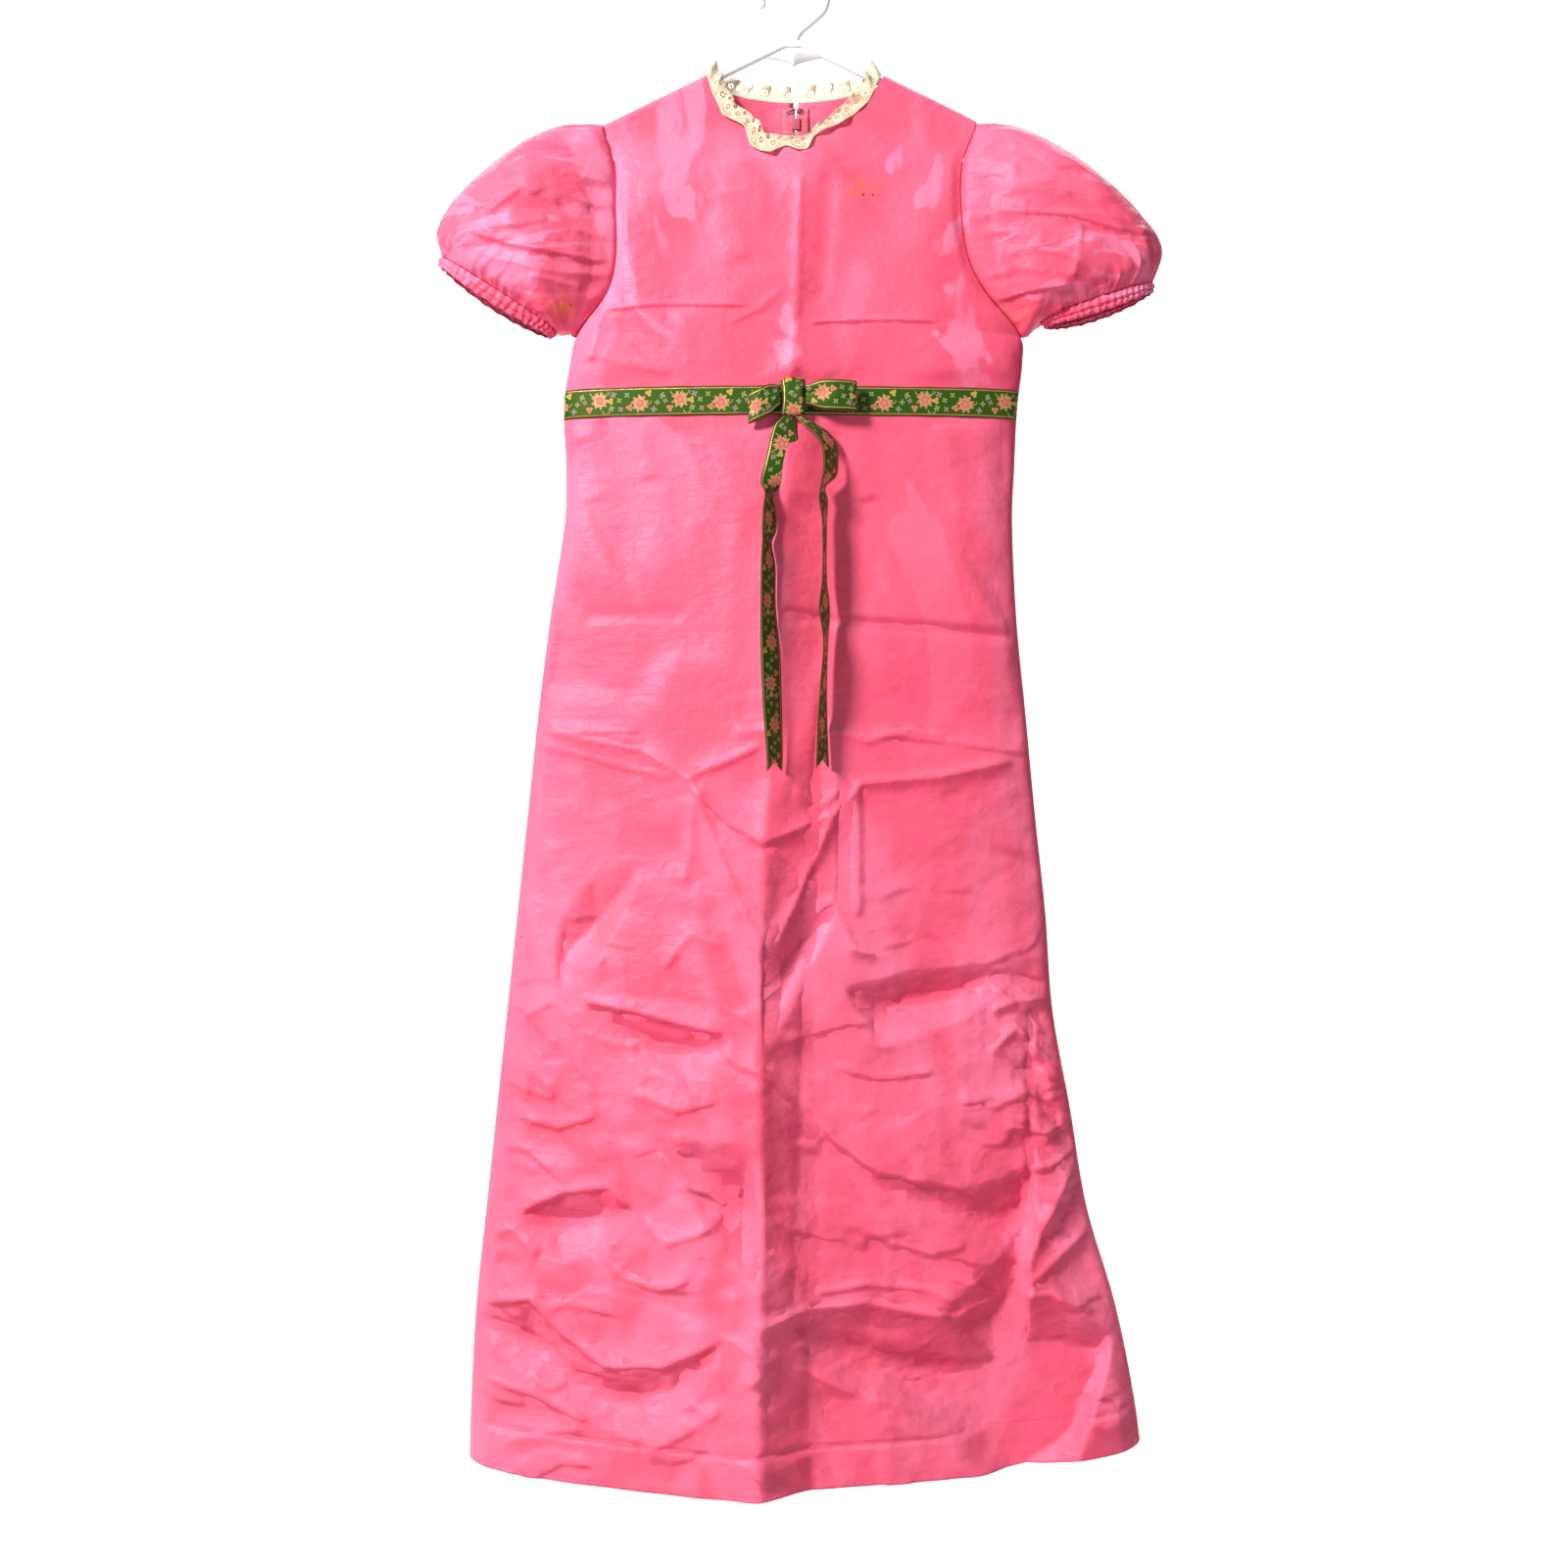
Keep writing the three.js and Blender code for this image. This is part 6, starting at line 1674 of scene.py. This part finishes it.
def tape_material():
    """The zip's woven tape: a ribbed weave with a stiffer edge."""
    made, tree, shader = shading("zip_tape", 0.85)
    place = place_in(tree)
    weft, _, threads = woven(tree, place, (1500, 60, 60), (90, 60, 1500), 0.4)
    colour = mixed(tree, weft.over(0.35, 0.3), (0.66, 0.10, 0.17), (0.86, 0.20, 0.30))
    tree.links.new(colour, shader.inputs["Base Color"])
    bumped(tree, shader, threads, 0.4 * MM)
    return made


def worn_metal(name, colour, worn_colour, roughness, metallic, scale):
    """Metal with tarnish in soft patches and fine scratches along it."""
    made, tree, shader = shading(name, roughness)
    place = place_in(tree)
    patches = grain(tree, place, scale, 4.0)
    scratches = grain(tree, stretched(tree, place, (3000, 3000, 160)), 1.0, 2.0)
    base = mixed(tree, patches.over(0.4, 0.25), colour, worn_colour)
    tree.links.new(base, shader.inputs["Base Color"])
    tree.links.new((patches * 0.3 + scratches * 0.2 + roughness - 0.2).socket, shader.inputs["Roughness"])
    shader.inputs["Metallic"].default_value = metallic
    bumped(tree, shader, scratches, 0.05 * MM)
    return made


def moulded_plastic(name, colour, roughness):
    """Glossy moulded plastic with a faint orange-peel surface and scuffs."""
    made, tree, shader = shading(name, roughness)
    place = place_in(tree)
    peel = grain(tree, place, 260, 2.0)
    scuffs = grain(tree, stretched(tree, place, (40, 900, 300)), 1.0, 3.0)
    base = mixed(tree, scuffs.over(0.62, 0.1) * 0.35, colour, (0.72, 0.72, 0.74))
    tree.links.new(base, shader.inputs["Base Color"])
    tree.links.new((scuffs * 0.25 + (roughness - 0.1)).socket, shader.inputs["Roughness"])
    bumped(tree, shader, peel, 0.06 * MM)
    return made


finishes = {
    "taffeta": taffeta_material(),
    "ribbon": ribbon_material("ribbon"),
    "lace": lace_material(),
    "zip_tape": tape_material(),
    "zip_metal": worn_metal("zip_metal", (0.42, 0.38, 0.34), (0.26, 0.21, 0.17), 0.42, 0.9, 700),
    "dark_metal": worn_metal("dark_metal", (0.05, 0.05, 0.055), (0.12, 0.10, 0.09), 0.5, 0.5, 900),
    "hanger_plastic": moulded_plastic("hanger_plastic", (0.9, 0.9, 0.92), 0.3),
}
wrong_side = ribbon_material("ribbon_wrong_side", wrong_side=True)
enamel = worn_metal("zip_enamel", (0.62, 0.10, 0.16), (0.50, 0.12, 0.16), 0.4, 0.0, 500)


# ---- what repeats: zip teeth and stitches ----

def row_of(name, finish, form, sizes, spacing, seed, jitter=0.0):
    """Small solids along a path, as a node tree. The modifier's inputs set their spacing, size and seed."""
    tree = bpy.data.node_groups.new(name, "GeometryNodeTree")
    give_sockets(tree, {"Geometry": "Geometry", "Spacing": "Float", "Size": "Vector",
                        "Unevenness": "Float", "Seed": "Int"}, {"Geometry": "Geometry"})

    def add(kind, **settings):
        node = tree.nodes.new(kind)
        for key, value in settings.items():
            setattr(node, key, value)
        return node

    given, result = add("NodeGroupInput"), add("NodeGroupOutput")
    path, along = add("GeometryNodeMeshToCurve"), add("GeometryNodeCurveToPoints", mode="LENGTH")
    if form == "tooth":
        unit = add("GeometryNodeMeshCube")
        unit.inputs["Size"].default_value = (1, 1, 1)
    else:
        unit = add("GeometryNodeMeshIcoSphere")
        unit.inputs["Radius"].default_value = 0.5
    sized, spread = add("GeometryNodeTransform"), add("FunctionNodeRandomValue", data_type="FLOAT")
    least, most = add("ShaderNodeMath", operation="SUBTRACT"), add("ShaderNodeMath", operation="ADD")
    least.inputs[0].default_value = most.inputs[0].default_value = 1
    placed, realized = add("GeometryNodeInstanceOnPoints"), add("GeometryNodeRealizeInstances")
    shaded, finished = add("GeometryNodeSetShadeSmooth"), add("GeometryNodeSetMaterial")
    shaded.inputs["Shade Smooth"].default_value = form != "tooth"
    finished.inputs["Material"].default_value = finish
    low, high = [next(s for s in spread.inputs if s.name == side and s.type == "VALUE")
                 for side in ("Min", "Max")]
    random = [s for s in spread.outputs if s.type == "VALUE"][0]
    for start, end in (
        (given.outputs["Geometry"], path.inputs[0]), (path.outputs[0], along.inputs["Curve"]),
        (given.outputs["Spacing"], along.inputs["Length"]),
        (unit.outputs["Mesh"], sized.inputs["Geometry"]),
        (given.outputs["Size"], sized.inputs["Scale"]), (given.outputs["Unevenness"], least.inputs[1]),
        (given.outputs["Unevenness"], most.inputs[1]), (least.outputs[0], low), (most.outputs[0], high),
        (given.outputs["Seed"], spread.inputs["Seed"]), (along.outputs["Points"], placed.inputs["Points"]),
        (along.outputs["Rotation"], placed.inputs["Rotation"]),
        (sized.outputs[0], placed.inputs["Instance"]),
        (random, placed.inputs["Scale"]), (placed.outputs[0], realized.inputs[0]),
        (realized.outputs[0], shaded.inputs["Geometry"]), (shaded.outputs[0], finished.inputs["Geometry"]),
        (finished.outputs[0], result.inputs[0]),
    ):
        tree.links.new(start, end)
    wanted = {"Spacing": spacing, "Size": sizes, "Unevenness": jitter, "Seed": seed}
    named = {item.name: item.identifier for item in tree.interface.items_tree if item.in_out == "INPUT"}
    return tree, {named[label]: value for label, value in wanted.items()}


def repeated(name, paths, tree_and_inputs, closed=False):
    """One mesh of the solids along every path."""
    points, edges = [], []
    for path in paths:
        start = len(points)
        points += [tuple(p) for p in path]
        edges += [(start + i, start + i + 1) for i in range(len(path) - 1)]
        if closed:
            edges.append((start + len(path) - 1, start))
    mesh = bpy.data.meshes.new(name)
    mesh.from_pydata(points, edges, [])
    made = bpy.data.objects.new(name, mesh)
    bpy.context.scene.collection.objects.link(made)
    tree, inputs = tree_and_inputs
    add = made.modifiers.new(name, "NODES")
    add.node_group = tree
    for identifier, value in inputs.items():
        add[identifier] = value
    settle(made)
    return made


def on_body(face, x, z, proud=0.15 * MM):
    path = body_surface(face, x, z)
    path[:, 1] += face * proud
    return path


# The chain's teeth lock from both sides, each a half pitch apart
TOOTH_PITCH = 2.6 * MM
tooth_paths = []
for half in (-1, 1):
    z = np.linspace(-156.5 * MM - (half > 0) * TOOTH_PITCH / 2, ZIP_END_Z, 60)
    x = CENTRE_BACK + half * 0.75 * MM + 0 * z
    tooth_paths.append([(px, back_y(px, pz) - 0.9 * MM, pz) for px, pz in zip(x, z)])
teeth = row_of("zip teeth", finishes["zip_metal"], "tooth", (2.2 * MM, 2.1 * MM, 1.25 * MM), TOOTH_PITCH, 1)
pieces["zip_chain"] = repeated("zip_chain", tooth_paths, teeth)

# Stitches: the hem's, two rows beside the zip, one round each cuff, and one along each edge of the ribbon
across = np.linspace(-0.985, 0.985, 500)
hem_line = hem_edge(across) + HEM_DEPTH - HEM_STITCH_DROP
stitch_paths = [on_body(face, column_x(face, across, hem_line), hem_line) for face in (FRONT, BACK)]
down = np.linspace(-150 * MM, ZIP_END_Z - 4 * MM, 240)
stitch_paths += [on_body(BACK, CENTRE_BACK + side * 6.5 * MM + 0 * down, down) for side in (-1, 1)]
stitches = row_of("stitches", finishes["taffeta"], "thread",
                  (0.45 * MM, 0.45 * MM, 2.3 * MM), 3.4 * MM, 2, 0.12)
pieces["seam_stitches"] = repeated("seam_stitches", stitch_paths, stitches)
cuff_paths = [cuffs[half][CUFF_STITCH_ROW] for half in (-1, 1)]
pieces["cuff_stitches"] = repeated("cuff_stitches", cuff_paths, stitches, closed=True)
edge_paths = []
for face, half in ((FRONT, 0), (BACK, -1), (BACK, 1)):
    band = band_grid(face, half, 400, 9)
    for row, inwards in ((0, 1), (8, 7)):
        path = lerp(band[row], band[inwards], 0.32)
        path[:, 1] += face * 0.08 * MM
        edge_paths.append(path[4:-4])
edging = row_of("ribbon stitches", finishes["ribbon"], "thread",
                (0.3 * MM, 0.3 * MM, 1.9 * MM), 2.9 * MM, 3, 0.12)
pieces["ribbon_stitches"] = repeated("ribbon_stitches", edge_paths, edging)

SLOT_OF = {"neck_lace": "lace", "zip_tape_right": "zip_tape", "zip_tape_left": "zip_tape",
           "zip_chain": "zip_metal", "zip_slider": "zip_metal", "zip_pull": "zip_metal",
           "neck_hook": "dark_metal", "neck_eye": "dark_metal", "hanger": "hanger_plastic"}
for name, made in pieces.items():
    slot = SLOT_OF.get(name, "ribbon" if name.startswith(("ribbon", "bow")) else "taffeta")
    made.data.materials.clear()
    made.data.materials.append(enamel if name in ("zip_slider", "zip_pull") else finishes[slot])
    if slot == "ribbon" and "inner_start" in made:
        made.data.materials.append(wrong_side)
        made.data.polygons.foreach_set("material_index", inner_faces(made))
    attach(made, "zip_tab" if name == "zip_pull" else "dress")
    if not name.endswith("stitches"):
        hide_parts(name)


# ---- setting ----

def area_light(name, place, target, size, power, colour):
    lamp = bpy.data.lights.new(name, "AREA")
    lamp.shape = "RECTANGLE"
    lamp.size, lamp.size_y = size
    lamp.energy = power
    lamp.color = colour
    made = bpy.data.objects.new(name, lamp)
    made.location = place
    made.rotation_euler = (Vector(target) - Vector(place)).to_track_quat("-Z", "Y").to_euler()
    bpy.context.scene.collection.objects.link(made)


def sweep():
    """A pale floor that curves up into the wall behind the dress."""
    floor_z, wall_y, bend = -2.3, 3.6, 1.2
    profile = [(-6.0, floor_z), (wall_y - bend, floor_z)]
    for k in range(1, 13):
        a = math.pi / 2 * k / 12
        profile.append((wall_y - bend + bend * math.sin(a), floor_z + bend - bend * math.cos(a)))
    profile.append((wall_y, 4.0))
    points = [(x, y, z) for y, z in profile for x in (-6.0, 6.0)]
    faces = [(2 * k, 2 * k + 1, 2 * k + 3, 2 * k + 2) for k in range(len(profile) - 1)]
    uvs = [[(0, 0)] * 4 for _ in faces]
    floor = mesh_object("floor", points, faces, uvs)
    floor.data.materials.append(plain_material("floor", (0.74, 0.74, 0.75), 0.9))


sweep()
area_light("key", (-2.2, -2.4, 1.25), (0, 0, -0.8), (0.8, 0.8), 205, (1.0, 0.98, 0.95))
area_light("fill", (2.4, -2.4, 0.0), (0, 0, -0.8), (1.2, 1.6), 16, (1.0, 0.95, 0.97))
area_light("front", (-0.4, -2.9, -0.3), (0, 0, -0.8), (1.2, 1.2), 3, (1.0, 0.99, 0.97))
area_light("backdrop", (0.0, 1.7, 2.1), (0, 3.6, -0.5), (5.0, 0.8), 300, (1.0, 1.0, 1.0))

world = bpy.data.worlds.new("studio")
world.use_nodes = True
world.node_tree.nodes["Background"].inputs["Color"].default_value = (0.92, 0.94, 1.0, 1)
world.node_tree.nodes["Background"].inputs["Strength"].default_value = 0.07
bpy.context.scene.world = world

lens = bpy.data.cameras.new("camera")
lens.lens = 47.3
lens.sensor_width = 36
camera = bpy.data.objects.new("camera", lens)
camera.location = (-0.0095, -2.0, -0.793)
camera.rotation_euler = (math.pi / 2, 0, 0)
bpy.context.scene.collection.objects.link(camera)
bpy.context.scene.camera = camera
bpy.context.scene.view_settings.view_transform = "Standard"
bpy.context.scene.view_settings.look = "None"
